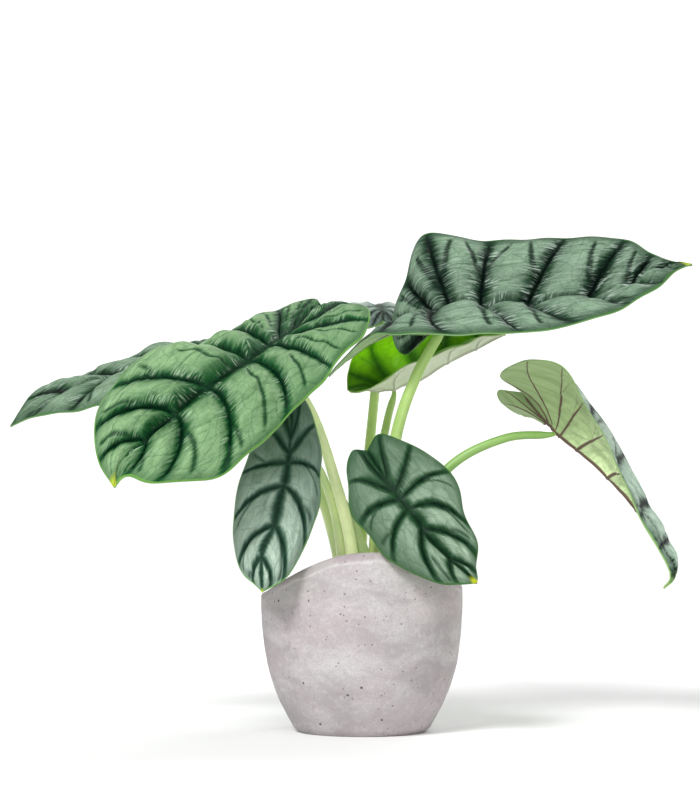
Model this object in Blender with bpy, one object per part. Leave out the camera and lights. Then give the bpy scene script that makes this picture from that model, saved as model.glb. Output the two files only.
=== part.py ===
"""Dragon scale alocasia growing in a concrete pot with a wavy rim.

Sizes below are millimetres and become metres where a mesh is made. +Z is up, the origin is the
middle of the pot's underside, and the high hill of the rim faces -Y. The plant is eight leaf
blades, each on its own stalk, round a short crown that stands in the soil.
"""
import math

import bpy
import bmesh
import numpy as np

MM = 0.001
GAP = 0.3

# Pot: outer radius against height, wall, and the height of the rim round the pot.
POT_PROFILE = [(0, 41.0), (3, 44.5), (10, 48.6), (20, 53.6), (32, 58.2), (44, 61.6), (60, 64.0),
               (76, 65.2), (90, 65.3), (100, 64.4), (110, 62.0), (121, 57.5)]
POT_SIDES = 40
POT_WALL = 7.0
POT_FLOOR = 10.0
BELLY_TOP = 76
INNER_LEVELS = [72, 58, 42, 28, 18, POT_FLOOR]
RIM_LOW = 90.0
RIM_HILL = 28.0
RIM_RIGHT_RISE = 6.0
LIP_ROUND = 2.2

# Soil: level top inside the pot, a low mound round the crown, and small clods.
SOIL_LEVEL = 77.0
SOIL_MOUND = 3.0
SOIL_CLOD = 1.1
HOLE_TOP = 107.0

CROWN_RADIUS = 8.6
CROWN_FOOT = 48.0
CROWN_TOP = 90.0

# Stalks: their depth in the soil, the circle they stand on, the straight stretch under the blade,
# the shoulder where the top tapers off into it, and the rows and columns of the blade's grid,
# counted from the junction, that trim it.
STALK_DEPTH = 22.0
STALK_CIRCLE = 14.0
STALK_RISE = 4.0
STALK_APPROACH = 7.0
STALK_SHOULDER = 1.6
STALK_SIDES = 8
STALK_SEGMENTS = 15
TRIM_BEHIND = 7
TRIM_AHEAD = 6
TRIM_BESIDE = 4

# Blades: thickness, the widest gap between two side veins that still makes the panel there puff
# up more, how far its top leans to the front vein (1 is none) and how round it is (1 is a sine),
# the small veins across a half blade and the depth of their dips, the share of a half blade over
# which a panel rises beside the midrib and the power by which it falls to the margin, the panels
# over which the puffing fades at the lobes and at the tip, the shares of the arch and of the
# puffing that are left in the rear lobes, and how many stations a lifted rear lobe reaches.
# The stalk meets the blade where the side veins number JUNCTION leave the midrib.
BLADE_THICK = 1.0
PUFF_WIDEST = 26.0
PUFF_LEAN = 1.35
PUFF_ROUND = 0.62
SMALL_VEINS = 3.57
SMALL_DIP = 0.16
RIB_RISE = 0.16
MARGIN_FALL = 5
END_FADE = 1.5
LOBE_ARCH = 0.25
LOBE_PUFF = 0.5
LIFT_REACH = 0.8
JUNCTION = 3
ACROSS = [0.0, 0.1, 0.22, 0.36, 0.5, 0.64, 0.78, 0.9, 1.0]
ACROSS_SMALL = [0.0, 0.13, 0.32, 0.5, 0.7, 0.87, 1.0]


def even_veins(count, lean_left, lean_right):
    """Side veins by rule: the first two pairs fan out into the rear lobes, and the others stand
    at whole stations and lean to the tip by the given amounts, half way out and at the margin."""
    table = [(0, 0, 0, 0, 0), (2.0, 1.2, 1.0, 1.2, 1.0), (2.6, 2.1, 2.0, 2.1, 2.0)]
    for k in range(3, count):
        ease = min(1.0, (count - k) / 2)
        table.append((k, k + lean_left[0] * ease, k + lean_left[1] * ease,
                      k + lean_right[0] * ease, k + lean_right[1] * ease))
    return table + [(count,) * 5]


# Each leaf is a run of stations from the notch at its base to its tip: the left margin, the
# midrib and the right margin, seen from above with the tip ahead. Its veins are the pairs of side
# veins, each given by the stations where it leaves the midrib, passes half way to the left margin
# and ends there, and the same for the right half.
LEAVES = {
    "left_large": dict(
        puff=0.27, arch=(0.10, 0.08), rows=5, across=ACROSS, stalk_angle=-110,
        stalk_radius=(5.0, 2.3), stalk_path=[(-7, -15, 121), (-18, -14, 165), (-33, -13, 208)],
        stations=[
            (-26, 22, 277),
            [(-8, 24, 280), (-35, 6, 269), (-34, 38, 282)],
            [(6, -20, 267), (-45, -13, 260), (-57, 34, 275)],
            [(-19, -56, 235), (-59, -36, 250), (-87, 8, 260)],
            [(-44, -80, 208), (-71, -50, 240), (-115, -22, 245)],
            [(-64, -98, 187), (-84, -63, 231), (-136, -44, 246)],
            [(-88, -108, 169), (-99, -75, 221), (-159, -68, 222)],
            [(-123, -114, 163), (-118, -89, 204), (-168, -86, 198)],
            [(-145, -112, 168), (-136, -101, 186), (-164, -98, 176)],
            (-154, -108, 161),
        ],
        veins=[
            (0, 0, 0, 0, 0), (2.0, 1.2, 1.0, 1.2, 1.0), (2.6, 2.1, 2.0, 2.1, 2.0),
            (3.05, 2.95, 3.0, 3.0, 3.05), (4.05, 3.8, 4.15, 3.9, 4.1),
            (5.87, 5.5, 5.95, 5.8, 5.95), (6.93, 6.7, 7.15, 6.72, 7.1),
            (7.9, 7.75, 8.1, 7.7, 8.0), (9, 9, 9, 9, 9),
        ]),
    "right_large": dict(
        puff=0.25, arch=(0.04, 0.09), rows=4, across=ACROSS, stalk_angle=15,
        lobe_puff=0.2, lift=(0, 7),
        stalk_radius=(4.8, 2.9), stalk_path=[(15, 2, 140), (23, 1, 195), (36, 2, 232)],
        stations=[
            (43, 8, 257),
            [(28, 20, 245), (46, 6, 261), (10, 12, 256)],
            [(19, 27, 261), (48, 4, 264), (-21, 7, 231)],
            [(28, 33, 293), (51, 2, 267), (2, -22, 255)],
            [(41, 38, 325), (59, 2, 270), (25, -47, 257)],
            [(83, 35, 320), (77, 0, 271), (82, -65, 257)],
            [(132, 24, 322), (106, -4, 272), (115, -62, 259)],
            [(171, 10, 320), (144, -8, 275), (155, -54, 269)],
            [(188, -2, 310), (172, -12, 282), (184, -38, 284)],
            [(201, -10, 305), (192, -14, 297), (200, -26, 297)],
            (213, -16, 303),
        ],
        veins=even_veins(10, (0.0, 0.05), (0.1, 0.5))),
    "young_green": dict(
        puff=0.08, arch=(0.10, 0.14), rows=3, across=ACROSS_SMALL, stalk_angle=58,
        stalk_radius=(3.8, 2.0), stalk_path=[(8, 14, 125), (11, 22, 170), (17, 34, 202)],
        stations=[
            (-9, 50, 221.5),
            [(-10, 56, 223), (3, 47, 223), (-6, 38, 220)],
            [(-9, 66, 234), (11, 46, 222), (6, 28, 222)],
            [(-2, 75, 248), (21, 46, 224), (22, 21, 233)],
            [(23, 80, 263), (39, 48, 229), (43, 20, 242)],
            [(53, 79, 267), (57, 50, 240), (63, 28, 251)],
            [(77, 71, 265), (76, 54, 249), (81, 42, 257)],
            (96, 58, 259),
        ],
        veins=even_veins(7, (0.1, 0.4), (0.1, 0.4))),
    "back_left": dict(
        puff=0.19, arch=(0.10, 0.06), rows=3, across=ACROSS_SMALL, stalk_angle=150,
        stalk_radius=(4.6, 2.2), stalk_path=[(-17, 10, 120), (-34, 22, 170), (-66, 42, 218)],
        stations=[
            (-69, 64, 246),
            [(-66, 46, 236), (-76, 61, 245), (-74, 82, 251)],
            [(-80, 24, 227), (-84, 58, 244), (-93, 96, 254)],
            [(-108, 6, 219), (-94, 54, 242), (-119, 100, 254)],
            [(-137, -6, 214), (-117, 48, 239), (-146, 94, 249)],
            [(-165, -5, 212), (-142, 41, 234), (-171, 78, 236)],
            [(-189, 2, 208), (-167, 33, 226), (-195, 60, 227)],
            [(-210, 8, 205), (-193, 24, 217), (-217, 36, 220)],
            (-230, 12, 198),
        ],
        veins=[
            (0, 0, 0, 0, 0), (2.0, 1.2, 1.0, 1.2, 1.0), (2.6, 2.1, 2.0, 2.1, 2.0),
            (3, 3.1, 3.5, 3.1, 3.5), (4.2, 4.4, 4.7, 4.4, 4.7), (5.5, 5.75, 6.1, 5.75, 6.1),
            (6.8, 7.0, 7.3, 7.0, 7.3), (8, 8, 8, 8, 8),
        ]),
    "back": dict(
        puff=0.12, arch=(0.06, 0.06), rows=3, across=ACROSS_SMALL, stalk_angle=103,
        stalk_radius=(4.2, 2.3), stalk_path=[(0, 22, 125), (4, 38, 172), (9, 67, 222), (11, 92, 252)],
        stations=[
            (14, 76, 268),
            [(6, 68, 264), (14, 82, 271), (23, 72, 265)],
            [(-8, 74, 265), (14, 90, 275), (38, 80, 267)],
            [(-21, 104, 272), (13, 104, 278), (50, 110, 270)],
            [(-27, 140, 274), (9, 132, 280), (47, 146, 272)],
            [(-20, 172, 272), (3, 167, 277), (26, 178, 272)],
            (-3, 204, 265),
        ],
        veins=even_veins(6, (0.1, 0.4), (0.1, 0.4))),
    "hanging_left": dict(
        puff=0.13, arch=(0.12, 0.12), rows=3, across=ACROSS_SMALL, stalk_angle=-152,
        stalk_radius=(3.9, 1.9), stalk_path=[(-14, -7, 120), (-20, -9, 150), (-30, -20, 173)],
        stations=[
            (-45, -36, 207),
            [(-39, -26, 219), (-45, -40, 198), (-51, -26, 216)],
            [(-31, -30, 203), (-46, -45, 186), (-64, -27, 207)],
            [(-26, -36, 184), (-47, -50, 176), (-71, -34, 183)],
            [(-26, -42, 163), (-49, -55, 163), (-80, -42, 161)],
            [(-29, -50, 143), (-53, -58, 150), (-81, -47, 140)],
            [(-36, -58, 123), (-56, -62, 135), (-81, -54, 121)],
            [(-47, -66, 104), (-63, -67, 119), (-75, -62, 106)],
            (-63, -74, 94),
        ],
        veins=[
            (0, 0, 0, 0, 0), (1.6, 1.2, 1.0, 1.2, 1.0), (2.5, 2.2, 2.2, 2.2, 2.2),
            (3.1, 3.4, 3.9, 3.4, 3.7), (4.2, 4.95, 6.1, 4.5, 5.05),
            (5.95, 6.5, 7.25, 6.15, 6.7), (7.15, 7.4, 7.8, 7.3, 7.6), (8, 8, 8, 8, 8),
        ]),
    "front_small": dict(
        puff=0.15, arch=(0.08, 0.08), rows=3, across=ACROSS_SMALL, stalk_angle=-66,
        stalk_radius=(3.5, 1.8), stalk_path=[(7, -18, 110), (12, -27, 135), (19, -37, 148)],
        stations=[
            (3, -40, 183),
            [(11, -34, 194), (9, -44, 174), (-7, -37, 182)],
            [(27, -36, 189), (16, -48, 163), (-10, -42, 164)],
            [(56, -43, 170), (26, -53, 150), (-3, -56, 136)],
            [(65, -52, 144), (35, -58, 139), (20, -68, 112)],
            [(71, -61, 125), (41, -63, 129), (44, -74, 101)],
            [(73, -70, 109), (56, -71, 114), (60, -77, 100)],
            (72, -78, 100),
        ],
        veins=[
            (0, 0, 0, 0, 0), (2.0, 1.25, 1.05, 0.9, 0.6), (2.5, 2.3, 2.15, 2.05, 2.1),
            (2.85, 2.8, 3.0, 2.8, 3.05), (3.4, 3.65, 4.4, 3.6, 4.0), (4.6, 4.85, 5.5, 4.75, 5.25),
            (6.0, 6.05, 6.3, 5.85, 6.0), (7, 7, 7, 7, 7),
        ]),
    "right_folded": dict(
        puff=0.09, arch=(0.05, 0.10), rows=3, across=ACROSS_SMALL, stalk_angle=-27,
        stalk_radius=(4.2, 2.1), stalk_path=[(24, -9, 130), (57, -10, 172), (92, -8, 190)],
        stations=[
            (105, 4, 220),
            [(90, 10, 221), (111, 2, 213), (89, -18, 232)],
            [(93, 22, 213), (119, -2, 203), (106, -42, 241)],
            [(111, 42, 206), (127, -5, 195), (127, -52, 236)],
            [(133, 54, 231), (132, -7, 189), (141, -54, 214)],
            [(153, 52, 212), (142, -10, 181), (153, -52, 193)],
            [(172, 42, 182), (159, -14, 165), (165, -46, 168)],
            [(188, 28, 149), (177, -18, 144), (177, -38, 142)],
            [(200, 10, 125), (192, -22, 121), (189, -32, 121)],
            [(204, -14, 108), (201, -22, 102), (198, -27, 103)],
            (195, -18, 93),
        ],
        veins=[
            (0, 0, 0, 0, 0), (2.4, 1.1, 0.8, 1.1, 0.8), (2.7, 1.9, 2.0, 1.9, 2.0),
            (2.95, 2.95, 3.0, 2.95, 3.0), (3.5, 3.75, 4.0, 3.75, 4.0),
            (4.8, 4.95, 5.0, 4.95, 5.0), (6, 6, 6.1, 6, 6.1), (7, 7, 7.1, 7, 7.1),
            (8, 8, 8.1, 8, 8.1), (9, 9, 9, 9, 9), (10, 10, 10, 10, 10),
        ]),
}

# Material looks: base colour (linear), roughness.
LOOKS = {
    "pot": ((0.52, 0.48, 0.48), 0.85),
    "soil": ((0.045, 0.03, 0.02), 0.95),
    "crown": ((0.24, 0.17, 0.07), 0.7),
    "stalk": ((0.36, 0.50, 0.16), 0.45),
    "leaf": ((0.12, 0.24, 0.13), 0.4),
    "leaf_young": ((0.10, 0.33, 0.03), 0.4),
}


def clear_scene():
    """Remove every object that the file starts with."""
    for item in list(bpy.data.objects):
        bpy.data.objects.remove(item, do_unlink=True)


def look(name):
    """One Principled material for each finish, made once."""
    material = bpy.data.materials.get(name)
    if material is None:
        colour, roughness = LOOKS[name]
        material = bpy.data.materials.new(name)
        material.use_nodes = True
        shader = material.node_tree.nodes["Principled BSDF"]
        shader.inputs["Base Color"].default_value = (*colour, 1.0)
        shader.inputs["Roughness"].default_value = roughness
        shader.inputs["Metallic"].default_value = 0.0
        material.diffuse_color = (*colour, 1.0)
    return material


def add_solid(name, points, faces, finish):
    """A named object from points in millimetres; coincident points and empty faces go."""
    mesh = bpy.data.meshes.new(name)
    work = bmesh.new()
    verts = [work.verts.new([c * MM for c in p]) for p in points]
    work.verts.ensure_lookup_table()
    for face in faces:
        try:
            work.faces.new([verts[i] for i in face])
        except ValueError:
            continue
    bmesh.ops.remove_doubles(work, verts=work.verts, dist=1e-7)
    bmesh.ops.recalc_face_normals(work, faces=work.faces)
    work.to_mesh(mesh)
    work.free()
    mesh.shade_smooth()
    mesh.set_sharp_from_angle(angle=math.radians(50))
    mesh.materials.append(look(finish))
    item = bpy.data.objects.new(name, mesh)
    bpy.context.collection.objects.link(item)
    return item


def cut(item, cutters):
    """Subtract the cutters from an object, apply the result and drop the cutters."""
    group = bpy.data.collections.new(item.name + "_cutters")
    for cutter in cutters:
        group.objects.link(cutter)
    step = item.modifiers.new("holes", "BOOLEAN")
    step.operation = "DIFFERENCE"
    step.operand_type = "COLLECTION"
    step.collection = group
    step.solver = "EXACT"
    graph = bpy.context.evaluated_depsgraph_get()
    result = bpy.data.meshes.new_from_object(item.evaluated_get(graph))
    item.modifiers.clear()
    item.data = result
    for cutter in cutters:
        bpy.data.objects.remove(cutter, do_unlink=True)
    bpy.data.collections.remove(group)


def through(points, at):
    """Smooth curve through points, one unit of `at` for each: Catmull-Rom with open ends."""
    points = np.asarray(points, float)
    ends = [2 * points[0] - points[1], 2 * points[-1] - points[-2]]
    padded = np.vstack([ends[0], points, ends[1]])
    at = np.asarray(at, float)
    cell = np.clip(np.floor(at).astype(int), 0, len(points) - 2)
    t = (at - cell)[..., None]
    a, b, c, d = (padded[cell + k] for k in range(4))
    return 0.5 * (2 * b + (c - a) * t + (2 * a - 5 * b + 4 * c - d) * t ** 2
                  + (3 * b - a - 3 * c + d) * t ** 3)


def vein_stations(leaf, p, v):
    """The station where the pair of side veins p crosses place v: a parabola through the vein's
    places at the midrib, half way out and at the margin."""
    table = through(leaf["veins"], p)
    out = np.abs(v)[None, :]
    root, half, end = (1 - out) * (1 - 2 * out), 4 * out * (1 - out), out * (2 * out - 1)
    left = table[:, 0:1] * root + table[:, 1:2] * half + table[:, 2:3] * end
    right = table[:, 0:1] * root + table[:, 3:4] * half + table[:, 4:5] * end
    return np.clip(np.where(v[None, :] < 0, left, right), 0, len(leaf["stations"]) - 1)


def blade_surface(leaf, p, v):
    """Top of a blade and its normal, p counting the side veins and v being the place across.

    v runs from -1 at the left margin over 0 on the midrib to 1 at the right margin. The bare
    form joins midrib and margin, arched a little, least in the lobes behind the stalk. Each
    panel between two side veins then puffs up along the normal as a sine of the way from vein
    to vein, steeper at its rear vein, low at midrib and margin, with a shallow dip at each small
    vein across the panel.
    """
    u = vein_stations(leaf, p, v)
    lines = [[s[k] if isinstance(s, list) else s for s in leaf["stations"]] for k in range(3)]
    left, rib, right = (through(line, u) for line in lines)
    side = v[None, :, None]
    across = np.abs(side)
    edge = np.where(side < 0, left, right)
    flat = rib + (edge - rib) * across
    along = np.gradient(flat, p, axis=0)
    over = np.gradient(flat, v, axis=1)
    normal = np.cross(over, along)
    normal[0] = normal[1, len(v) // 2]
    normal[-1] = normal[-2, len(v) // 2]
    normal /= np.linalg.norm(normal, axis=2, keepdims=True) + 1e-9
    width = np.linalg.norm(edge - rib, axis=2, keepdims=True)
    arch = np.where(side < 0, leaf["arch"][0], leaf["arch"][1])
    rise = np.clip((u - 2) / 2, LOBE_ARCH, 1)[..., None]
    bare = flat + normal * arch * rise * width * np.sin(math.pi * across)
    lift = np.where(side < 0, *leaf.get("lift", (0, 0)))[..., 0] * np.clip(u, 0, 1)
    bare[..., 2] += lift * np.exp(-((u - 2) / LIFT_REACH) ** 2) * np.sin(math.pi * across[..., 0])

    count = len(leaf["veins"]) - 1
    step = p[:, None, None]
    spacing = np.minimum(np.linalg.norm(along, axis=2, keepdims=True), PUFF_WIDEST)
    between = np.abs(np.sin(math.pi * (step - np.floor(step)) ** PUFF_LEAN)) ** PUFF_ROUND
    swell = np.clip(across / RIB_RISE, 0, 1) ** 0.8 * (1 - across ** MARGIN_FALL)
    dips = np.cos(2 * math.pi * across * SMALL_VEINS) * np.clip(across * 6, 0, 1)
    lobe = leaf.get("lobe_puff", LOBE_PUFF)
    ends = lobe + (1 - lobe) * np.clip((step - END_FADE) / END_FADE, 0, 1)
    ends = ends * np.clip((count - step) / END_FADE, 0.1, 1) ** 0.5
    puff = leaf["puff"] * spacing * between * swell * (1 - SMALL_DIP * dips) * ends
    return bare + normal * puff, normal


def grid_solid(name, upper, lower, finish):
    """A closed slab between two grids of points, split into triangles alike on both faces."""
    rows, cols = upper.shape[:2]
    points = [tuple(p) for grid in (upper, lower) for p in grid.reshape(-1, 3)]
    under = rows * cols
    faces = []
    for i in range(rows - 1):
        for j in range(cols - 1):
            a, b = i * cols + j, i * cols + j + 1
            c, d = b + cols, a + cols
            split = [(a, b, c), (a, c, d)] if j < cols // 2 else [(a, b, d), (b, c, d)]
            for p, q, r in split:
                faces.append((p, q, r))
                faces.append((under + p, under + r, under + q))
    border = list(range(cols))
    border += [i * cols + cols - 1 for i in range(1, rows)]
    border += [(rows - 1) * cols + j for j in range(cols - 2, -1, -1)]
    border += [i * cols for i in range(rows - 2, 0, -1)]
    for a, b in zip(border, border[1:] + border[:1]):
        faces.append((a, under + a, under + b))
        faces.append((a, under + b, b))
    return add_solid(name, points, faces, finish)


def blade_grids(leaf):
    """The grid of a blade's top and its normals, with so many rows from vein to vein."""
    count = len(leaf["veins"]) - 1
    p = np.linspace(0, count, count * leaf["rows"] + 1)
    half = np.array(leaf["across"])
    v = np.concatenate([-half[:0:-1], half])
    return blade_surface(leaf, p, v)


def leaf_blade(name, leaf):
    """A closed blade: the top grid and its copy one thickness below."""
    top, normal = blade_grids(leaf)
    finish = "leaf_young" if name == "young_green" else "leaf"
    return grid_solid("leaf_" + name, top, top - normal * BLADE_THICK, finish)


def frames(path):
    """Two unit vectors square to the path at each point, carried along without twist."""
    tangent = np.gradient(path, axis=0)
    tangent /= np.linalg.norm(tangent, axis=1, keepdims=True)
    first = np.cross(tangent[0], (0.0, 1.0, 0.0))
    across = []
    for t in tangent:
        first = first - t * np.dot(first, t)
        first /= np.linalg.norm(first)
        across.append(first)
    across = np.array(across)
    return across, np.cross(tangent, across)


def stalk_foot(leaf):
    """Where a stalk's axis crosses the soil, on the circle round the crown."""
    turn = math.radians(leaf["stalk_angle"])
    return STALK_CIRCLE * math.cos(turn), STALK_CIRCLE * math.sin(turn)


def stalk(name, leaf):
    """A tapering stalk from its hole in the soil to the underside of its blade.

    It is made a little too long and trimmed one gap below the blade, so its end seats on it.
    """
    x, y = stalk_foot(leaf)
    top, normal = blade_grids(leaf)
    row, middle = JUNCTION * leaf["rows"], top.shape[1] // 2
    seat, up = top[row, middle], normal[row, middle]
    route = [(x, y, SOIL_LEVEL - STALK_DEPTH), (x, y, SOIL_LEVEL + STALK_RISE)]
    route += leaf["stalk_path"]
    heading = seat - np.array(route[-1], float)
    heading = up + heading / np.linalg.norm(heading)
    route += [tuple(seat - heading / np.linalg.norm(heading) * STALK_APPROACH), tuple(seat)]
    path = through(route, np.linspace(0, len(route) - 1, STALK_SEGMENTS))
    last = path[-1] - path[-2]
    last /= np.linalg.norm(last)
    path[-1] = seat - last * STALK_SHOULDER
    path = np.vstack([path, seat - up * BLADE_THICK / 2])
    one, two = frames(path)
    wide, slim = leaf["stalk_radius"]
    radius = wide + (slim - wide) * np.linspace(0, 1, len(path)) ** 0.8
    radius[-1] = slim * 0.3
    turns = [2 * math.pi * s / STALK_SIDES for s in range(STALK_SIDES)]
    rings = [[tuple(path[k] + radius[k] * (math.cos(t) * one[k] + math.sin(t) * two[k]))
              for t in turns] for k in range(len(path))]
    item = rings_to_solid("petiole_" + name, rings, tuple(path[0]), tuple(path[-1]), "stalk")
    window = (slice(row - TRIM_BEHIND, row + TRIM_AHEAD),
              slice(middle - TRIM_BESIDE, middle + TRIM_BESIDE + 1))
    near, facing = top[window], normal[window]
    trimmer = grid_solid("trim_" + name, near + facing * GAP,
                         near - facing * (BLADE_THICK + GAP), "leaf")
    cut(item, [trimmer])
    return item


def pot_radius(z):
    """Outer radius of the pot at a height, smooth through the profile."""
    heights, radii = zip(*POT_PROFILE)
    at = np.interp(z, heights, range(len(heights)))
    return through(np.array(radii)[:, None], at)[..., 0]


def rim_height(turn):
    """Rim height round the pot: level at the back, one rounded hill at the front."""
    front = max(0.0, -math.sin(turn))
    return RIM_LOW + RIM_RIGHT_RISE * max(0.0, math.cos(turn)) + RIM_HILL * front ** 2


def rings_to_solid(name, rings, foot, head, finish):
    """Close a stack of rings of equal count with a point below and a point above."""
    sides = len(rings[0])
    points = [p for ring in rings for p in ring] + [foot, head]
    low, high = len(points) - 2, len(points) - 1
    faces = []
    for k in range(len(rings) - 1):
        for s in range(sides):
            t = (s + 1) % sides
            a, b = k * sides + s, k * sides + t
            faces += [(a, b, b + sides), (a, b + sides, a + sides)]
    last = (len(rings) - 1) * sides
    for s in range(sides):
        t = (s + 1) % sides
        faces.append((t, s, low))
        faces.append((last + s, last + t, high))
    return add_solid(name, points, faces, finish)


def pot():
    """The pot: outer wall up to the wavy rim, rounded lip, inner wall and floor."""
    turns = [2 * math.pi * s / POT_SIDES for s in range(POT_SIDES)]

    def ring(height, inset):
        made = []
        for turn in turns:
            z = height(turn) if callable(height) else height
            r = float(pot_radius(z)) - inset
            made.append((r * math.cos(turn), r * math.sin(turn), z))
        return made

    rings = [ring(z, 0.0) for z, _ in POT_PROFILE if z <= BELLY_TOP]
    for share in (0.3, 0.6, 0.85):
        rings.append(ring(lambda t, p=share: BELLY_TOP
                          + (rim_height(t) - LIP_ROUND - BELLY_TOP) * p, 0.0))
    rings.append(ring(lambda t: rim_height(t) - LIP_ROUND, 0.2))
    rings.append(ring(rim_height, LIP_ROUND))
    rings.append(ring(rim_height, POT_WALL - LIP_ROUND))
    rings.append(ring(lambda t: rim_height(t) - LIP_ROUND, POT_WALL - 0.2))
    rings.append(ring(lambda t: 82 + (rim_height(t) - 82) * 0.4, POT_WALL))
    rings += [ring(z, POT_WALL) for z in INNER_LEVELS]
    return rings_to_solid("pot", rings, (0, 0, 0), (0, 0, POT_FLOOR), "pot")


def soil():
    """The root ball: it fills the pot, rises a little at the crown and has clods on top."""
    inset = POT_WALL + GAP
    draw = np.random.default_rng(7)
    rings = []
    for z in INNER_LEVELS[::-1]:
        low = z + GAP if z == POT_FLOOR else z
        r = float(pot_radius(low)) - inset
        rings.append([(r * math.cos(t), r * math.sin(t), low)
                      for t in np.arange(POT_SIDES) * 2 * math.pi / POT_SIDES])
    edge = float(pot_radius(SOIL_LEVEL)) - inset - 0.5
    for share in (1.0, 0.86, 0.7, 0.54, 0.4, 0.24):
        r = edge * share
        level = SOIL_LEVEL + SOIL_MOUND * (1 - share) ** 0.7
        clods = draw.uniform(-SOIL_CLOD, SOIL_CLOD, POT_SIDES // 2).repeat(2)
        rings.append([(r * math.cos(t), r * math.sin(t), level + clods[k])
                      for k, t in enumerate(np.arange(POT_SIDES) * 2 * math.pi / POT_SIDES)])
    return rings_to_solid("soil", rings, (0, 0, POT_FLOOR + GAP),
                          (0, 0, SOIL_LEVEL + SOIL_MOUND), "soil")


def turned(name, profile, sides, x, y, finish):
    """A solid of revolution about a vertical axis from (radius, height) pairs, foot first."""
    spread = [2 * math.pi * s / sides for s in range(sides)]
    rings = [[(x + r * math.cos(t), y + r * math.sin(t), z) for t in spread] for r, z in profile]
    return rings_to_solid(name, rings, (x, y, profile[0][1]), (x, y, profile[-1][1]), finish)


def crown():
    """The short stem that the stalks grow round, rounded at both ends."""
    r, low, high = CROWN_RADIUS, CROWN_FOOT, CROWN_TOP
    profile = [(r * 0.45, low), (r * 0.85, low + 3), (r, low + 9), (r, high - 10),
               (r * 0.92, high - 5), (r * 0.7, high - 1.5), (r * 0.3, high)]
    return turned("crown", profile, 16, 0, 0, "crown")


def holes():
    """Cutters for the plain holes that the crown and the stalks stand in."""
    sides = 12
    grow = 1 / math.cos(math.pi / sides)
    r = (CROWN_RADIUS + GAP) * grow
    cutters = [turned("hole_crown", [(r, CROWN_FOOT - GAP), (r, HOLE_TOP)], 16, 0, 0, "soil")]
    for name, leaf in LEAVES.items():
        x, y = stalk_foot(leaf)
        r = (leaf["stalk_radius"][0] + GAP) * grow
        low = SOIL_LEVEL - STALK_DEPTH - GAP
        cutters.append(turned("hole_" + name, [(r, low), (r, HOLE_TOP)], sides, x, y, "soil"))
    return cutters


clear_scene()
pot()
cut(soil(), holes())
crown()
for leaf_name, leaf_data in LEAVES.items():
    leaf_blade(leaf_name, leaf_data)
    stalk(leaf_name, leaf_data)
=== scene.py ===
"""Dragon scale alocasia in a pale concrete pot with a wavy rim, seen from the front.

Sizes are millimetres and become metres where a mesh is made. +Z is up, -Y is the front, and the
origin is the middle of the pot's underside.
"""
import math

import bpy
import numpy as np
from mathutils import Euler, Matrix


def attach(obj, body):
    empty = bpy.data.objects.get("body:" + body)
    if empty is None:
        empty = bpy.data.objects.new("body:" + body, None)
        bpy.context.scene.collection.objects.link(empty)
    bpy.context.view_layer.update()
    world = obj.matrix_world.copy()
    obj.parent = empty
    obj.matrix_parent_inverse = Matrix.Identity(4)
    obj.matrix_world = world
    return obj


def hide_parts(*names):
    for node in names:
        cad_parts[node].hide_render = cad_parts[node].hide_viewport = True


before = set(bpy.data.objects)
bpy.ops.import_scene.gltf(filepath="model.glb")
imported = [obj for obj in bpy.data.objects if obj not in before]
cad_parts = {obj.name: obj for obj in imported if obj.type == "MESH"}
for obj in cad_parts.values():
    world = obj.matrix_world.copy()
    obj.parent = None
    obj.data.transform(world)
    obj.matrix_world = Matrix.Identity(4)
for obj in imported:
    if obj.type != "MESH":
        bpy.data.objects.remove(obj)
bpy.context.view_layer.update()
MM = 0.001


# Studio. A white floor that curves up into a wall all round, so no horizon shows, a soft key
# light from the upper left, a broad weak fill from the front, and one from behind for the sheen.
BOWL_RADIUS, BOWL_BEND, BOWL_TOP = 5000.0, 2000.0, 4000.0
PLANT_MIDDLE = (0.0, 0.0, 0.18)
CAMERA_AWAY, CAMERA_SIDE, CAMERA_HEIGHT = 2.2, -0.0078, 0.215
SEEN_HEIGHT = 0.52


def surface(name, points, faces, sharp=60):
    """A smooth-shaded mesh object from points in millimetres and faces of any size."""
    mesh = bpy.data.meshes.new(name)
    mesh.from_pydata((np.asarray(points, float) * MM).tolist(), [], faces)
    mesh.shade_smooth()
    mesh.set_sharp_from_angle(angle=math.radians(sharp))
    item = bpy.data.objects.new(name, mesh)
    bpy.context.scene.collection.objects.link(item)
    return item


def principled(name, colour, roughness):
    """A material with one Principled shader; returns the material and the shader."""
    material = bpy.data.materials.new(name)
    material.use_nodes = True
    shader = material.node_tree.nodes["Principled BSDF"]
    shader.inputs["Base Color"].default_value = (*colour, 1.0)
    shader.inputs["Roughness"].default_value = roughness
    material.diffuse_color = (*colour, 1.0)
    return material, shader


def ring_faces(rows, cols):
    """Quads between rows of a grid whose columns run round and close, facing out when the rows
    rise and the columns run anticlockwise."""
    k, s = np.meshgrid(np.arange(rows - 1), np.arange(cols), indexing="ij")
    t = (s + 1) % cols
    quads = np.stack([k * cols + s, k * cols + t, (k + 1) * cols + t, (k + 1) * cols + s], -1)
    return quads.reshape(-1, 4).tolist()


def ring(count):
    """The cosine and sine of so many even turns round a circle."""
    turn = np.arange(count) * 2 * math.pi / count
    return np.cos(turn), np.sin(turn)


def floor_bowl():
    """The floor as a bowl, wall first: a quarter circle joins the wall to the flat floor."""
    bend = np.linspace(math.pi / 2, 0, 17)
    reach = BOWL_RADIUS + BOWL_BEND * np.sin(bend)
    reach = np.concatenate([reach[:1], reach, [50.0]])[:, None]
    height = np.concatenate([[BOWL_TOP], BOWL_BEND * (1 - np.cos(bend)), [0.0]])[:, None]
    x, y = ring(96)
    return np.stack([reach * x, reach * y, height + 0 * x], -1)


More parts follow.
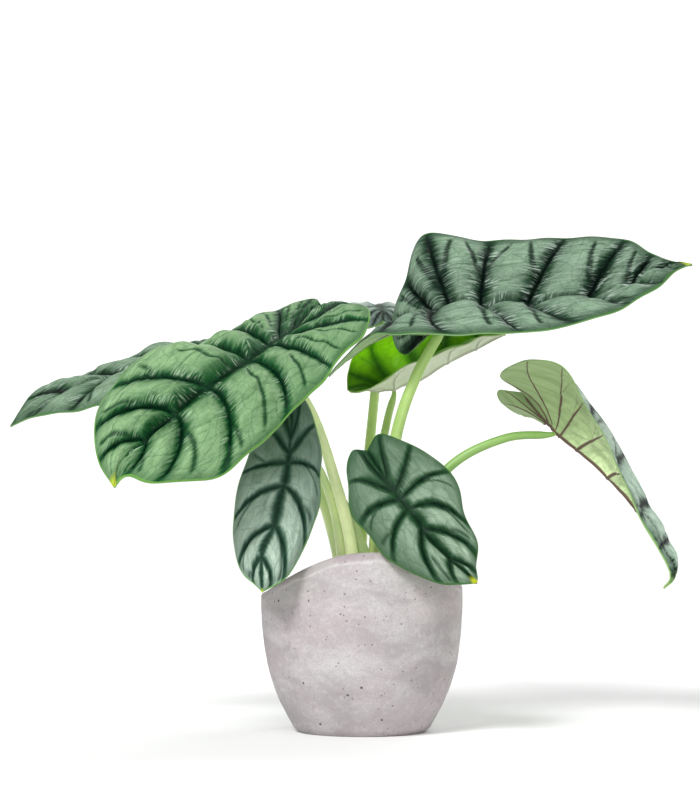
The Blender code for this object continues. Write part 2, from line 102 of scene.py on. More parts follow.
bowl = floor_bowl()
rows, cols = bowl.shape[:2]
middle = tuple(range((rows - 1) * cols, rows * cols))
sweep = surface("sweep", bowl.reshape(-1, 3), ring_faces(rows, cols) + [middle])
sweep.data.materials.append(principled("pale sweep", (0.86, 0.86, 0.86), 0.9)[0])

world = bpy.data.worlds.new("studio")
bpy.context.scene.world = world
world.use_nodes = True
sky = world.node_tree.nodes["Background"]
sky.inputs["Color"].default_value = (1.0, 1.0, 1.0, 1.0)
sky.inputs["Strength"].default_value = 0.42


def lamp(name, kind, energy, place, aim, **settings):
    """A light at a place in metres that points at another place."""
    data = bpy.data.lights.new(name, kind)
    data.energy = energy
    for key, value in settings.items():
        setattr(data, key, value)
    item = bpy.data.objects.new(name, data)
    bpy.context.scene.collection.objects.link(item)
    way = np.array(place, float) - np.array(aim, float)
    flat = math.hypot(way[0], way[1])
    item.location = place
    item.rotation_euler = (math.atan2(flat, way[2]), 0.0, math.atan2(way[0], -way[1]))


lamp("key", "SUN", 2.8, (-1.1, -1.9, 2.0), (0, 0, 0), angle=math.radians(20))
lamp("fill", "AREA", 18.0, (0.3, -2.6, 0.5), PLANT_MIDDLE, size=1.6)
lamp("sheen", "AREA", 12.0, (0.9, 0.9, 1.5), PLANT_MIDDLE, size=1.0)

camera_data = bpy.data.cameras.new("camera")
camera_data.sensor_width = 36.0
camera_data.lens = camera_data.sensor_width * CAMERA_AWAY / SEEN_HEIGHT
camera_data.clip_start, camera_data.clip_end = 0.05, 100.0
camera = bpy.data.objects.new("camera", camera_data)
bpy.context.scene.collection.objects.link(camera)
camera.location = (CAMERA_SIDE, -CAMERA_AWAY, CAMERA_HEIGHT)
camera.rotation_euler = (math.pi / 2, 0.0, 0.0)
bpy.context.scene.camera = camera
bpy.context.scene.view_settings.view_transform = "Standard"


# Pot. Cast pale grey concrete, matt and a little chalky, with air pits, faint pink and grey
# clouds and darker runs. Its rim rises to one rounded hill at the front.
POT_PROFILE = [(0, 41.0), (3, 44.5), (10, 48.6), (20, 53.6), (32, 58.2), (44, 61.6), (60, 64.0),
               (76, 65.2), (90, 65.3), (100, 64.4), (110, 62.0), (121, 57.5)]
POT_WALL, POT_FLOOR, LIP_ROUND, BELLY_TOP = 7.0, 10.0, 2.6, 70.0
RIM_LOW, RIM_RIGHT_RISE, RIM_HILL = 90.0, 6.0, 28.0
POT_WAVES = [(0.22, 42, 3), (0.1, 11, 4)]


def through(points, at):
    """Smooth curve through points, one unit of `at` for each: Catmull-Rom with open ends."""
    points = np.asarray(points, float)
    padded = np.vstack([2 * points[0] - points[1], points, 2 * points[-1] - points[-2]])
    at = np.asarray(at, float)
    cell = np.clip(np.floor(at).astype(int), 0, len(points) - 2)
    t = (at - cell)[..., None]
    a, b, c, d = (padded[cell + k] for k in range(4))
    return 0.5 * (2 * b + (c - a) * t + (2 * a - 5 * b + 4 * c - d) * t ** 2
                  + (3 * b - a - 3 * c + d) * t ** 3)


def pot_radius(z):
    """Outer radius of the pot at a height, smooth through the profile."""
    heights, radii = zip(*POT_PROFILE)
    at = np.interp(z, heights, range(len(heights)))
    return through(np.array(radii)[:, None], at)[..., 0]


def rim_height(turn):
    """Level at the back and left, a little higher at the right by the cosine of the turn, and a
    hill in front by its squared sine."""
    front = np.maximum(0.0, -np.sin(turn))
    return RIM_LOW + RIM_RIGHT_RISE * np.maximum(0.0, np.cos(turn)) + RIM_HILL * front ** 2


def ripple(x, y, z, size, seed):
    """Gentle unevenness, mostly between -1 and 1: a quarter of the sum of eight waves in seeded
    directions, each of about the given length."""
    draw = np.random.default_rng(seed)
    total = np.zeros(np.broadcast(x, y, z).shape)
    for _ in range(8):
        way = draw.normal(size=3)
        way *= 2 * math.pi / (size * draw.uniform(0.7, 1.5) * np.linalg.norm(way))
        total += np.sin(x * way[0] + y * way[1] + z * way[2] + draw.uniform(0, 6.3))
    return total / 4


def ripples(x, y, z, waves):
    """Ripples laid over one another, each with its height, length and seed."""
    return sum(height * ripple(x, y, z, size, seed) for height, size, seed in waves)


def tube(name, rings, foot, head):
    """A closed solid from a grid of rings, foot first, and the middle point of each end."""
    rows, cols = rings.shape[:2]
    last, low = (rows - 1) * cols, rows * cols
    faces = ring_faces(rows, cols)
    faces += [((s + 1) % cols, s, low) for s in range(cols)]
    faces += [(last + s, last + (s + 1) % cols, low + 1) for s in range(cols)]
    return surface(name, np.vstack([rings.reshape(-1, 3), [foot, head]]), faces)


def pot_points(turn):
    """The pot's section carried round: up the outside to the rim, a quarter circle over each
    edge of the lip, down the inside and in along the floor."""
    top = rim_height(turn)[None, :]
    up = np.concatenate([[0, 0.6, 1.6, 3], np.linspace(5, BELLY_TOP, 34)])[:, None] + 0 * top
    share = np.linspace(0, 1, 22)[1:, None]
    up = np.vstack([up, BELLY_TOP + (top - LIP_ROUND - BELLY_TOP) * share])
    bend = np.linspace(0, math.pi / 2, 7)[1:, None]
    lip = top - LIP_ROUND + LIP_ROUND * np.sin(bend)
    down = top - LIP_ROUND + (POT_FLOOR + 2 - top + LIP_ROUND) * np.linspace(0, 1, 30)[1:, None]
    height = np.vstack([up, lip, top, lip[::-1], top - LIP_ROUND, down])
    round_in = LIP_ROUND * (1 - np.cos(bend)) + 0 * top
    inset = np.vstack([0 * up, round_in, 0 * top + POT_WALL / 2, POT_WALL - round_in[::-1],
                       0 * top + POT_WALL, 0 * down + POT_WALL])
    radius = pot_radius(height) - inset
    wavering = ripples(radius * np.cos(turn), radius * np.sin(turn), height, POT_WAVES)
    radius = radius + wavering * np.clip(height / 8, 0, 1)
    return np.stack([radius * np.cos(turn), radius * np.sin(turn), height], -1)


turns = np.arange(180) * 2 * math.pi / 180
pot_grid = pot_points(turns)
pot = tube("concrete_pot", pot_grid, (0, 0, 0), (0, 0, POT_FLOOR))


def paint(item, name, values):
    """Keep one number for each point of a mesh, for its material to read."""
    layer = item.data.attributes.new(name, "FLOAT", "POINT")
    layer.data.foreach_set("value", np.ascontiguousarray(values, np.float32))


paint(pot, "drop", np.append((rim_height(turns) - pot_grid[..., 2]).ravel(), [99, 99]))


class Signal:
    """An output of a shader node. Arithmetic on it makes Math nodes."""

    def __init__(self, socket):
        self.socket = socket
        self.nodes = socket.id_data.nodes

    def math(self, operation, *others):
        """A Math node on this signal and the others."""
        return made(self.nodes, "Math", dict(enumerate((self, *others))), operation=operation)

    def __add__(self, other):
        return self.math("ADD", other)

    def __sub__(self, other):
        return self.math("SUBTRACT", other)

    def __mul__(self, other):
        return self.math("MULTIPLY", other)

    def __truediv__(self, other):
        return self.math("DIVIDE", other)

    def over(self, other):
        """The larger of this signal and another."""
        return self.math("MAXIMUM", other)

    def fade(self, first, last, start=0.0, end=1.0):
        """A smooth step from start to end as the signal goes from first to last, up or down."""
        inputs = dict(enumerate((self, first, last, start, end)))
        return made(self.nodes, "MapRange", inputs, interpolation_type="SMOOTHSTEP")

    def blend(self, colour, tint):
        """A tint over a colour, by this signal as its share."""
        return made(self.nodes, "Mix", {0: self, 6: colour, 7: tint}, 2, data_type="RGBA")


def wire(socket, value):
    """Link an input to a signal, or set it to a number, colour or vector."""
    if isinstance(value, Signal):
        socket.id_data.links.new(value.socket, socket)
    elif socket.type == "RGBA":
        socket.default_value = (*value, 1.0)
    else:
        socket.default_value = value


def made(nodes, kind, inputs, output=0, **settings):
    """One output of a new shader node with these inputs and settings."""
    node = nodes.new("ShaderNode" + kind)
    for key, value in settings.items():
        setattr(node, key, value)
    for key, value in inputs.items():
        wire(node.inputs[key], value)
    return Signal(node.outputs[output])


def layered(colour, *layers):
    """A colour under layers of tints, each with its share."""
    for share, tint in layers:
        colour = share.blend(colour, tint)
    return colour


def number(tree, name):
    """One of a mesh's painted numbers."""
    return made(tree.nodes, "Attribute", {}, "Fac", attribute_name=name)


def object_place(tree):
    """A point's own Object coordinates."""
    return made(tree.nodes, "TexCoord", {}, "Object")


def stretched(where, scale):
    """The coordinates scaled differently along each axis."""
    return made(where.nodes, "Mapping", dict(Vector=where, Scale=scale))


def cloud(where, scale, detail=3.0, roughness=0.5, distortion=0.0):
    """Noise from 0 to 1."""
    return made(where.nodes, "TexNoise", dict(Vector=where, Scale=scale, Detail=detail,
                                              Roughness=roughness, Distortion=distortion))


def cells(where, scale, output="Distance", feature="F1"):
    """Voronoi cells: the distance to their middle or their edge, or a random colour for each."""
    inputs = dict(Vector=where, Scale=scale)
    return made(where.nodes, "TexVoronoi", inputs, output, feature=feature)


def relief(shader, height, distance, strength):
    """A Bump node from a height to the shader's normal."""
    inputs = dict(Strength=strength, Distance=distance, Height=height)
    wire(shader.inputs["Normal"], made(height.nodes, "Bump", inputs))


def air_pits(where, scale, share, radius):
    """Mask of small round pits: inside `radius` of a cell's middle, in a share of the cells."""
    chosen = cells(where, scale, "Color").math("LESS_THAN", share)
    return cells(where, scale).fade(radius, radius * 0.55) * chosen


def concrete():
    """Pale grey with clouds: pink and grey patches, fine grains, air pits painted nearly black as
    the shade inside them, soft dark runs, a smeared darkening towards the bottom, and under the
    rim a patchy band of painted shade with a thin line of painted highlight below it."""
    material, shader = principled("pale concrete", (0.55, 0.52, 0.53), 0.85)
    tree = material.node_tree
    where = object_place(tree)
    level = made(tree.nodes, "SeparateXYZ", {0: where}, "Z")
    patches = cloud(stretched(where, (1, 1, 1.9)), 22, 4, 0.6, 0.4).fade(0.38, 0.64)
    smears = cloud(stretched(where, (1, 1, 5)), 34, 4, 0.65, 0.6)
    low = smears.math("MULTIPLY_ADD", 0.05, level).fade(0.065, 0.02)
    pink = cloud(stretched(where, (1, 1, 1.6)), 17, 3, 0.55).fade(0.42, 0.68)
    grain = cloud(where, 900, 3, 0.6)
    runs = cloud(stretched(where, (1, 1, 0.16)), 70, 3, 0.6).fade(0.6, 0.78)
    stain = cloud(stretched(where, (1, 1, 1.4)), 34, 5, 0.65, 0.8).fade(0.52, 0.72)
    dust = cloud(where, 260, 4, 0.7).fade(0.5, 0.7, 0.0, 0.24)
    drop = number(tree, "drop") + cloud(where, 60) * 5.0
    # Under the rim: a patchy band of painted shade over the top of the wall and the lip, and below
    # it a thin line of painted highlight.
    wavering = cloud(where, 38, 3, 0.6).fade(0.4, 0.62)
    rim_highlight = (drop - 8.6).math("ABSOLUTE").fade(0.2, 1.4, 0.3, 0.0)
    spots = cloud(where, 150, 4, 0.7, 0.6).fade(0.54, 0.7, 0.0, 0.42)
    # Air pits, sunk by the bump and painted nearly black as the shade inside them.
    pits = air_pits(where, 100, 0.46, 0.105).over(air_pits(where, 230, 0.42, 0.17) * 0.6)
    wire(shader.inputs["Base Color"], layered(
        patches.blend((0.365, 0.338, 0.34), (0.51, 0.49, 0.49)),
        (smears.fade(0.45, 0.7, 0.0, 0.45), (0.365, 0.33, 0.335)),
        (low * 0.4, (0.3, 0.275, 0.28)),
        (pink * 0.55, (0.48, 0.4, 0.415)),
        (runs * 0.2, (0.33, 0.3, 0.31)),
        (stain * 0.42, (0.33, 0.3, 0.32)),
        (grain.fade(0.38, 0.68, 0.0, 0.42), (0.3, 0.275, 0.28)),
        (dust, (0.64, 0.62, 0.62)),
        # The patchy band of painted shade under the rim, then the thin painted highlight below it.
        (drop.fade(5.5, 8.0, 0.6, 0.0) * wavering, (0.33, 0.265, 0.285)),
        (rim_highlight * wavering, (0.72, 0.7, 0.7)),
        (spots, (0.3, 0.25, 0.26)),
        # The pits painted nearly black: painted shade inside them.
        (pits * 0.95, (0.07, 0.055, 0.06))))
    relief(shader, pits.math("MULTIPLY_ADD", -1.0, grain * 0.35) + patches * 0.25, 0.0006, 0.7)
    return material


pot.data.materials.append(concrete())
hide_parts("pot")
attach(pot, "root")


# Soil. A dark bark and peat mix, mounded a little round the crown, with loose chips of bark on
# top. It fills the pot from wall to wall below the rim.
SOIL_LEVEL, SOIL_MOUND, SOIL_EDGE, SOIL_SIDE = 77.0, 3.0, 57.2, 12.0
SOIL_LUMPS = [(0.9, 14, 11), (0.6, 5, 12)]
CHIP_COUNT, CHIP_SIZES = 420, (1.0, 3.4)


def soil_height(x, y):
    """Level top, rising to a low mound in the middle, with large and small lumps."""
    share = np.clip(np.hypot(x, y) / SOIL_EDGE, 0, 1)
    return SOIL_LEVEL + SOIL_MOUND * (1 - share) ** 0.7 + ripples(x, y, 0, SOIL_LUMPS)


def soil_points():
    """A disc of rings under the level, then the top from the wall to the middle."""
    across, along = ring(120)
    radius = np.concatenate([[SOIL_EDGE - 1], SOIL_EDGE * np.linspace(1, 0.02, 46)])[:, None]
    x, y = radius * across, radius * along
    height = soil_height(x, y)
    height[0] = SOIL_LEVEL - SOIL_SIDE
    return np.stack([x, y, height], -1)


def bark_chips(count, seed):
    """Flat six-sided chips, each turned and tilted at random, lying in the soil's surface."""
    draw = np.random.default_rng(seed)
    radius = SOIL_EDGE * 0.96 * np.sqrt(draw.uniform(0.02, 1, count))
    turn = draw.uniform(0, 2 * math.pi, count)
    middle = np.stack([radius * np.cos(turn), radius * np.sin(turn)], -1)
    size = draw.uniform(*CHIP_SIZES, count)
    across, along = ring(6)
    points, faces = [], []
    for k in range(count):
        reach = size[k] * draw.uniform(0.6, 1.1, 6)
        flat = np.stack([across * reach, along * reach * draw.uniform(0.4, 0.9), across * 0], -1)
        raised = np.array((0, 0, size[k]))
        chip = np.vstack([flat * 0.8, flat + raised * 0.3, flat * 0.7 + raised * 0.55])
        yaw, tip = draw.uniform(0, 6.3), draw.normal(0, 0.45)
        x, y = middle[k]
        turned = chip @ np.array(Euler((tip, 0, yaw)).to_matrix()).T
        first = 18 * k
        points.append(turned + (x, y, soil_height(x, y) - size[k] * 0.2))
        lids = [range(5, -1, -1), range(12, 18)]
        faces += [tuple(first + i for i in face) for face in ring_faces(3, 6) + lids]
    return np.vstack(points), faces


soil = tube("potting_soil", soil_points(), (0, 0, SOIL_LEVEL - SOIL_SIDE),
            (0, 0, float(soil_height(0.0, 0.0))))
chips = surface("bark_chips", *bark_chips(CHIP_COUNT, 21), 30)


def group(name, colours, values, gives):
    """A new shader node group with its named inputs and outputs. Returns it, a function that
    reads an input as a signal, and its outputs."""
    tree = bpy.data.node_groups.new(name, "ShaderNodeTree")
    for title in colours:
        tree.interface.new_socket(title, in_out="INPUT", socket_type="NodeSocketColor")
    for title in values:
        tree.interface.new_socket(title, in_out="INPUT", socket_type="NodeSocketFloat")
    for title in gives:
        kind = "Color" if title == "Base Color" else "Float"
        tree.interface.new_socket(title, in_out="OUTPUT", socket_type="NodeSocket" + kind)
    inside, result = tree.nodes.new("NodeGroupInput"), tree.nodes.new("NodeGroupOutput")

    def take(title):
        return Signal(inside.outputs[title])

    return tree, take, result.inputs


def clothe(shader, skin, values, distance, strength):
    """A skin group placed in a material with its own values. What it gives goes to the shader's
    inputs of the same names, and its height to a bump."""
    node = shader.id_data.nodes.new("ShaderNodeGroup")
    node.node_tree = skin
    for title, value in values.items():
        wire(node.inputs[title], value)
    for title in ("Base Color", "Roughness"):
        if title in node.outputs:
            wire(shader.inputs[title], Signal(node.outputs[title]))
    relief(shader, Signal(node.outputs["Height"]), distance, strength)


def crumbly_skin():
    """Group for crumbly brown matter: dark and light grains, with a few pale flecks."""
    tree, take, give = group("crumbly skin", ["Dark", "Light"], ["Scale"],
                             ["Base Color", "Height"])
    where = object_place(tree)
    grain = cloud(where, take("Scale"), 5, 0.7)
    flecks = cells(where, take("Scale") * 1.4, "Color").math("LESS_THAN", 0.16)
    wire(give["Base Color"], layered(grain.fade(0.35, 0.7).blend(take("Dark"), take("Light")),
                                     (flecks * 0.5, (0.16, 0.11, 0.07))))
    wire(give["Height"], grain)
    return tree


CRUMBLY = crumbly_skin()


def earth(name, dark, light, scale):
    """Crumbly, dry and matt, with a rough bump."""
    material, shader = principled(name, dark, 0.95)
    clothe(shader, CRUMBLY, dict(Dark=dark, Light=light, Scale=scale), 0.0015, 0.9)
    return material


soil.data.materials.append(earth("potting mix", (0.022, 0.015, 0.01), (0.07, 0.046, 0.03), 420))
chips.data.materials.append(earth("bark", (0.05, 0.03, 0.018), (0.15, 0.095, 0.055), 300))
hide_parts("soil")
for item in (soil, chips):
    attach(item, "root")


# Crown. The short stem that all the stalks grow from, ringed with the scars and dry brown
# sheaths of older leaves.
CROWN_RADIUS, CROWN_FOOT, CROWN_TOP = 8.6, 60.0, 90.0
DOME_FOOT, DOME_HEIGHT, SCAR_PITCH, SCAR_DEPTH = 78.0, 12.4, 3.0, 0.05


def crown_points():
    """A round stem waisted between evenly spaced ring scars, domed at its top."""
    z = np.linspace(CROWN_FOOT, CROWN_TOP, 61)[:, None]
    turn = np.arange(48) * 2 * math.pi / 48
    dome = np.sqrt(1 - np.clip((z - DOME_FOOT) / DOME_HEIGHT, 0, 1) ** 2)
    waist = SCAR_DEPTH * np.abs(np.sin(math.pi * z / SCAR_PITCH))
    radius = CROWN_RADIUS * dome * (1 - waist - 0.03 * np.cos(3 * turn + z * 0.3))
    return np.stack([radius * np.cos(turn), radius * np.sin(turn), z + 0 * turn], -1)


crown = tube("crown_stem", crown_points(), (0, 0, CROWN_FOOT), (0, 0, CROWN_TOP))
crown.data.materials.append(earth("old sheaths", (0.1, 0.075, 0.03), (0.26, 0.2, 0.09), 160))
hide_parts("crown")
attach(crown, "root")


# Blades. Each is a leathery sheet a millimetre thick, quilted between sunken side veins on top
# and smooth with raised veins beneath. All eight are grown by the rules in this section, and a
# section for each leaf below gives its stations, the way its veins run, and its colours.
JUNCTION, PLEAT_PAIRS = 3, 3
PUFF_WIDEST, PUFF_LEAN, PUFF_ROUND = 26.0, 1.35, 0.62
RIB_RISE, MARGIN_FALL = 0.16, 5
SMALL_VEINS, SMALL_DIP = 3.57, 0.16
WAVE_LENGTH, WAVE_OUTWARD, WAVE_UPWARD = 30, 1.6, 1.2
RIPPLE_LENGTH, RIPPLE_HEIGHT = 9, 0.16
THICKNESS, GROOVE_WIDTH = 0.75, 2.0
RIB_RIDGE, VEIN_RIDGE, BOSS = (1.5, 1.5), (0.55, 0.9), (1.6, 3.8)
# What a leaf has unless its section says otherwise. Rows are points along a panel and steps those
# along a station. Waves is how much the margin waves, lobe how much the rear panels puff, lift how
# far each half rises behind the stalk, groove how deep and rungs how faint the small veins are.
USUAL = dict(slot="leaf", rows=26, steps=3, waves=1.0, lobe=0.5, lift=(0, 0), groove=1.3,
             rungs=1.2, pleats=True, forks=[], fork_width=0.4, gloss=0.1)


def vein_stations(leaf, p, v):
    """Where the pair of veins p crosses place v, in stations: a parabola through its places at
    the midrib, half way out and at the margin, for the left and the right half."""
    table = through(leaf["veins"], p)
    out = np.abs(v)[None, :]
    root, half, end = (1 - out) * (1 - 2 * out), 4 * out * (1 - out), out * (2 * out - 1)
    left = table[:, 0:1] * root + table[:, 1:2] * half + table[:, 2:3] * end
    right = table[:, 0:1] * root + table[:, 3:4] * half + table[:, 4:5] * end
    return np.clip(np.where(v[None, :] < 0, left, right), 0, len(leaf["stations"]) - 1)


def ridge(away, height, width):
    """Height of a rounded ridge at a distance from its middle: a bell curve."""
    return height * np.exp(-(away / width) ** 2)


def bare_form(leaf, u, p, v):
    """The blade without its quilting, for places v across it, at the stations u that belong to
    the steps p along it. A station is a point of the left margin, the midrib and the right
    margin, or one point where they meet. Midrib and margin are joined straight, then arched
    along the normal by a sine of the way out, least in the lobes behind the stalk. Also its
    normal, and the length of a step, the distance between veins and the width at each point."""
    lines = [[s[k] if isinstance(s, list) else s for s in leaf["stations"]] for k in range(3)]
    left, rib, right = (through(line, u) for line in lines)
    out = np.abs(v)[None, :, None]
    edge = np.where(v[None, :, None] < 0, left, right)
    flat = rib + (edge - rib) * out
    along = np.gradient(flat, p, axis=0)
    over = np.gradient(flat, v, axis=1)
    normal = np.cross(over, along)
    normal[0], normal[-1] = normal[1, len(v) // 2], normal[-2, len(v) // 2]
    area = np.linalg.norm(normal, axis=2, keepdims=True) + 1e-9
    normal = normal / area
    width = np.linalg.norm(edge - rib, axis=2, keepdims=True)
    arch = np.where(v[None, :, None] < 0, leaf["arch"][0], leaf["arch"][1])
    rise = np.clip((u[..., None] - 2) / 2, 0.25, 1)
    bare = flat + normal * arch * rise * width * np.sin(math.pi * out)
    lift = np.where(v[None, :] < 0, *leaf["lift"])
    bare[..., 2] += ridge(u - 2, lift, 0.8) * np.sin(math.pi * out[..., 0])
    spread = np.linalg.norm(along, axis=2)
    pitch = area[..., 0] / (np.linalg.norm(over, axis=2) + 1e-9)
    return bare, normal, spread, pitch, width[..., 0]


def seat_of(leaf):
    """The point of the blade over its stalk, at the junction on the midrib, and its normal."""
    count = len(leaf["stations"]) - 1
    p = np.linspace(0, count, count * leaf["steps"] + 1)
    v = np.array([-0.1, 0.0, 0.1])
    bare, normal = bare_form(leaf, p[:, None] + 0 * v, p, v)[:2]
    row = JUNCTION * leaf["steps"]
    return bare[row, 1], normal[row, 1]


def small_veins(leaf, p, v, pitch, width):
    """Distance in millimetres to the nearest small vein. Each starts on a side vein or between
    two, and curves away from it towards the margin as a power of the way out. A line is its
    half, then its place among the side veins and its way out, where it starts and where it
    ends. The forks that a leaf names itself are broad where they start."""
    draw = np.random.default_rng(leaf["seed"])
    forks = leaf["forks"]
    lines = list(forks)
    for k in range(1, len(leaf["veins"]) - 1):
        for side in (-1, 1):
            if k < PLEAT_PAIRS:
                if leaf["pleats"]:
                    lines += [(side, k + 0.36, 0.3, k + 0.34, 0.93),
                              (side, k + 0.7, 0.3, k + 0.72, 0.93)]
                continue
            start, shift = draw.uniform(0.35, 0.62), draw.choice([-1, 1]) * draw.uniform(0.3, 0.42)
            if not any(f[0] == side and abs(f[1] - k) < 0.6 for f in forks):
                lines.append((side, k, start, k + shift, 0.97))
    out = np.abs(v)[None, :]
    nearest = np.full(pitch.shape, 99.0)

    def closer(away, side):
        return np.where(np.sign(v)[None, :] == side, np.minimum(nearest, away), nearest)

    for rank, (side, p_from, out_from, p_to, out_to) in enumerate(lines):
        broad = leaf["fork_width"] * (rank < len(forks))
        way = (out - out_from) / (out_to - out_from)
        line = p_from + (p_to - p_from) * np.clip(way, 0, 1) ** 0.7
        beyond = np.maximum(0, np.maximum(-way, way - 1)) * (out_to - out_from) * width
        away = np.hypot((p[:, None] - line) * pitch, beyond) - broad * np.clip(1 - way, 0.2, 1)
        nearest = closer(np.maximum(away, 0), side)
    panel = np.floor(p).astype(int)[:, None]
    part = p[:, None] - panel
    for side in (-1, 1):
        for base in (0.34, 0.6, 0.82):
            start = draw.uniform(-0.08, 0.08, len(p))[panel]
            bow = draw.uniform(-0.14, 0.14, len(p))[panel]
            away = np.abs(out - base - start - bow * np.sin(math.pi * part) - 0.05 * part) * width
            away = away + leaf["rungs"] + 1.2 * (p[:, None] < PLEAT_PAIRS)
            nearest = closer(away, side)
    return nearest


def shell(name, top, under):
    """A closed sheet from two grids of points whose first and last rows are single points, with
    the faces of the top first. Also which points were kept, and how many faces the top has."""
    rows, cols = top.shape[:2]
    index = np.arange(2 * rows * cols).reshape(2, rows, cols)
    index[:, 0], index[:, -1] = index[:, 0, :1], index[:, -1, :1]
    a, b, c, d = index[:, :-1, :-1], index[:, :-1, 1:], index[:, 1:, 1:], index[:, 1:, :-1]
    upper = np.stack([a[0], b[0], c[0], d[0]], -1).reshape(-1, 4)
    lower = np.stack([d[1], c[1], b[1], a[1]], -1).reshape(-1, 4)
    left, right = index[:, :, 0], index[:, :, -1]
    rim = np.vstack([np.stack([left[0, 1:], left[1, 1:], left[1, :-1], left[0, :-1]], -1),
                     np.stack([right[0, :-1], right[1, :-1], right[1, 1:], right[0, 1:]], -1)])
    kept, small = np.unique(np.vstack([upper, lower, rim]), return_inverse=True)
    faces = [tuple(dict.fromkeys(f)) for f in small.reshape(-1, 4).tolist()]
    points = np.vstack([top.reshape(-1, 3), under.reshape(-1, 3)])[kept]
    return surface(name, points, faces, 70), kept, len(upper)


def lay_grain(item, places):
    """Lay the map named Grain over a mesh, from a place in millimetres for each of its points."""
    corner = np.empty(len(item.data.loops), np.int32)
    item.data.loops.foreach_get("vertex_index", corner)
    layer = item.data.uv_layers.new(name="Grain")
    layer.data.foreach_set("uv", (places[corner] / 100).ravel())


def grow_blade(name, leaf):
    """The finished blade. Each half has the leaf's number of columns. The margin waves a
    millimetre or two by smooth noise. Each panel between two side veins puffs up along the normal
    as a sine of the way from vein to vein, low at midrib and margin, with dips at the small
    veins. The underside follows below, with a ridge under each vein and a boss round the stalk."""
    count = len(leaf["veins"]) - 1
    p = np.linspace(0, count, count * leaf["rows"] + 1)
    half = np.linspace(0, 1, leaf["cols"] + 1)
    v = np.concatenate([-half[:0:-1], half])
    u = vein_stations(leaf, p, v)
    bare, normal, spread, pitch, width = bare_form(leaf, u, p, v)
    out = np.abs(v)[None, :]
    outward = bare - bare[:, len(v) // 2, None]
    outward /= np.linalg.norm(outward, axis=2, keepdims=True) + 1e-9
    ends = np.clip(p, 0, 1)[:, None] * np.clip((count - p) / 1.5, 0, 1)[:, None]
    ends = ends * leaf["waves"]
    place = np.moveaxis(bare, 2, 0)
    sway, rise = (ends * ripple(*place, WAVE_LENGTH, leaf["seed"] + n) for n in (20, 30))
    bare = bare + outward * (WAVE_OUTWARD * sway * out ** 4)[..., None]
    bare = bare + normal * (WAVE_UPWARD * rise * out ** 3)[..., None]

    panel = np.clip(np.floor(p).astype(int), 0, count - 1)[:, None]
    draw = np.random.default_rng(leaf["seed"] + 50)
    vary = draw.uniform(0.85, 1.12, (2, count))[(v > 0).astype(int)[None, :], panel]
    between = np.abs(np.sin(math.pi * (p - np.floor(p)) ** PUFF_LEAN))[:, None] ** PUFF_ROUND
    swell = np.clip(out / RIB_RISE, 0, 1) ** 0.8 * (1 - out ** MARGIN_FALL)
    dips = 1 - SMALL_DIP * np.cos(2 * math.pi * out * SMALL_VEINS) * np.clip(out * 6, 0, 1)
    lobe = leaf["lobe"]
    vary = vary * (lobe + (1 - lobe) * np.clip((p[:, None] - 1.5) / 1.5, 0, 1))
    vary = vary * np.clip((count - p[:, None]) / 1.5, 0.1, 1) ** 0.5
    puff = leaf["puff"] * np.minimum(spread, PUFF_WIDEST) * between * swell * dips * vary
    calm = np.clip(pitch / 8, 0, 1) * np.clip((1 - out) * 8, 0, 1)
    fork = small_veins(leaf, p, v, pitch, width) + 3 * (1 - calm)
    puff = puff - ridge(fork, leaf["groove"], GROOVE_WIDTH) * calm
    rough = ripple(*np.moveaxis(bare, 2, 0), RIPPLE_LENGTH, leaf["seed"])
    top = bare + normal * (puff + RIPPLE_HEIGHT * rough * calm)[..., None]

    off = np.abs(p - np.round(p))[:, None]
    side, below, rib = off * pitch, off * np.maximum(pitch, 12), out * width
    taper = 1 - p[:, None] / count
    raised = ridge(rib, *RIB_RIDGE) * taper + ridge(below, *VEIN_RIDGE) * (1 - out)
    raised = raised + ridge(np.linalg.norm(bare - seat_of(leaf)[0], axis=2), *BOSS)
    inner = np.clip((1 - out) * width / 3, 0, 1) * np.clip(taper * 8, 0, 1)
    inner = inner * np.clip(p[:, None] * 4, 0, 1)
    under = top - normal * (THICKNESS + raised * inner)[..., None]
    item, kept, uppers = shell("blade_" + name, top, under)

    reach = np.linalg.norm(np.diff(bare[:, len(v) // 2], axis=0), axis=1)
    length = np.concatenate([[0], np.cumsum(reach)])[:, None]
    numbers = {"rib": rib, "vein": side, "fork": fork, "edge": (1 - out) * width,
               "out": out, "tip": length[-1] - length, "share": length / length[-1],
               "side": v[None, :]}
    for key, grid in numbers.items():
        both = [grid + 0 * rib, (below if key == "vein" else grid) + 0 * rib]
        paint(item, key, np.ravel(both)[kept])
    grain = np.stack([length + 0 * rib, v[None, :] * width], -1).reshape(-1, 2)
    lay_grain(item, np.tile(grain, (2, 1))[kept])
    skin = np.ones(len(item.data.polygons), np.int32)
    skin[:uppers] = 0
    item.data.polygons.foreach_set("material_index", skin)
    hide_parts("leaf_" + name)
    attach(item, "root")
    return item


def grain_place(tree):
    """A point's place in the map named Grain."""
    return made(tree.nodes, "UVMap", {}, uv_map="Grain")


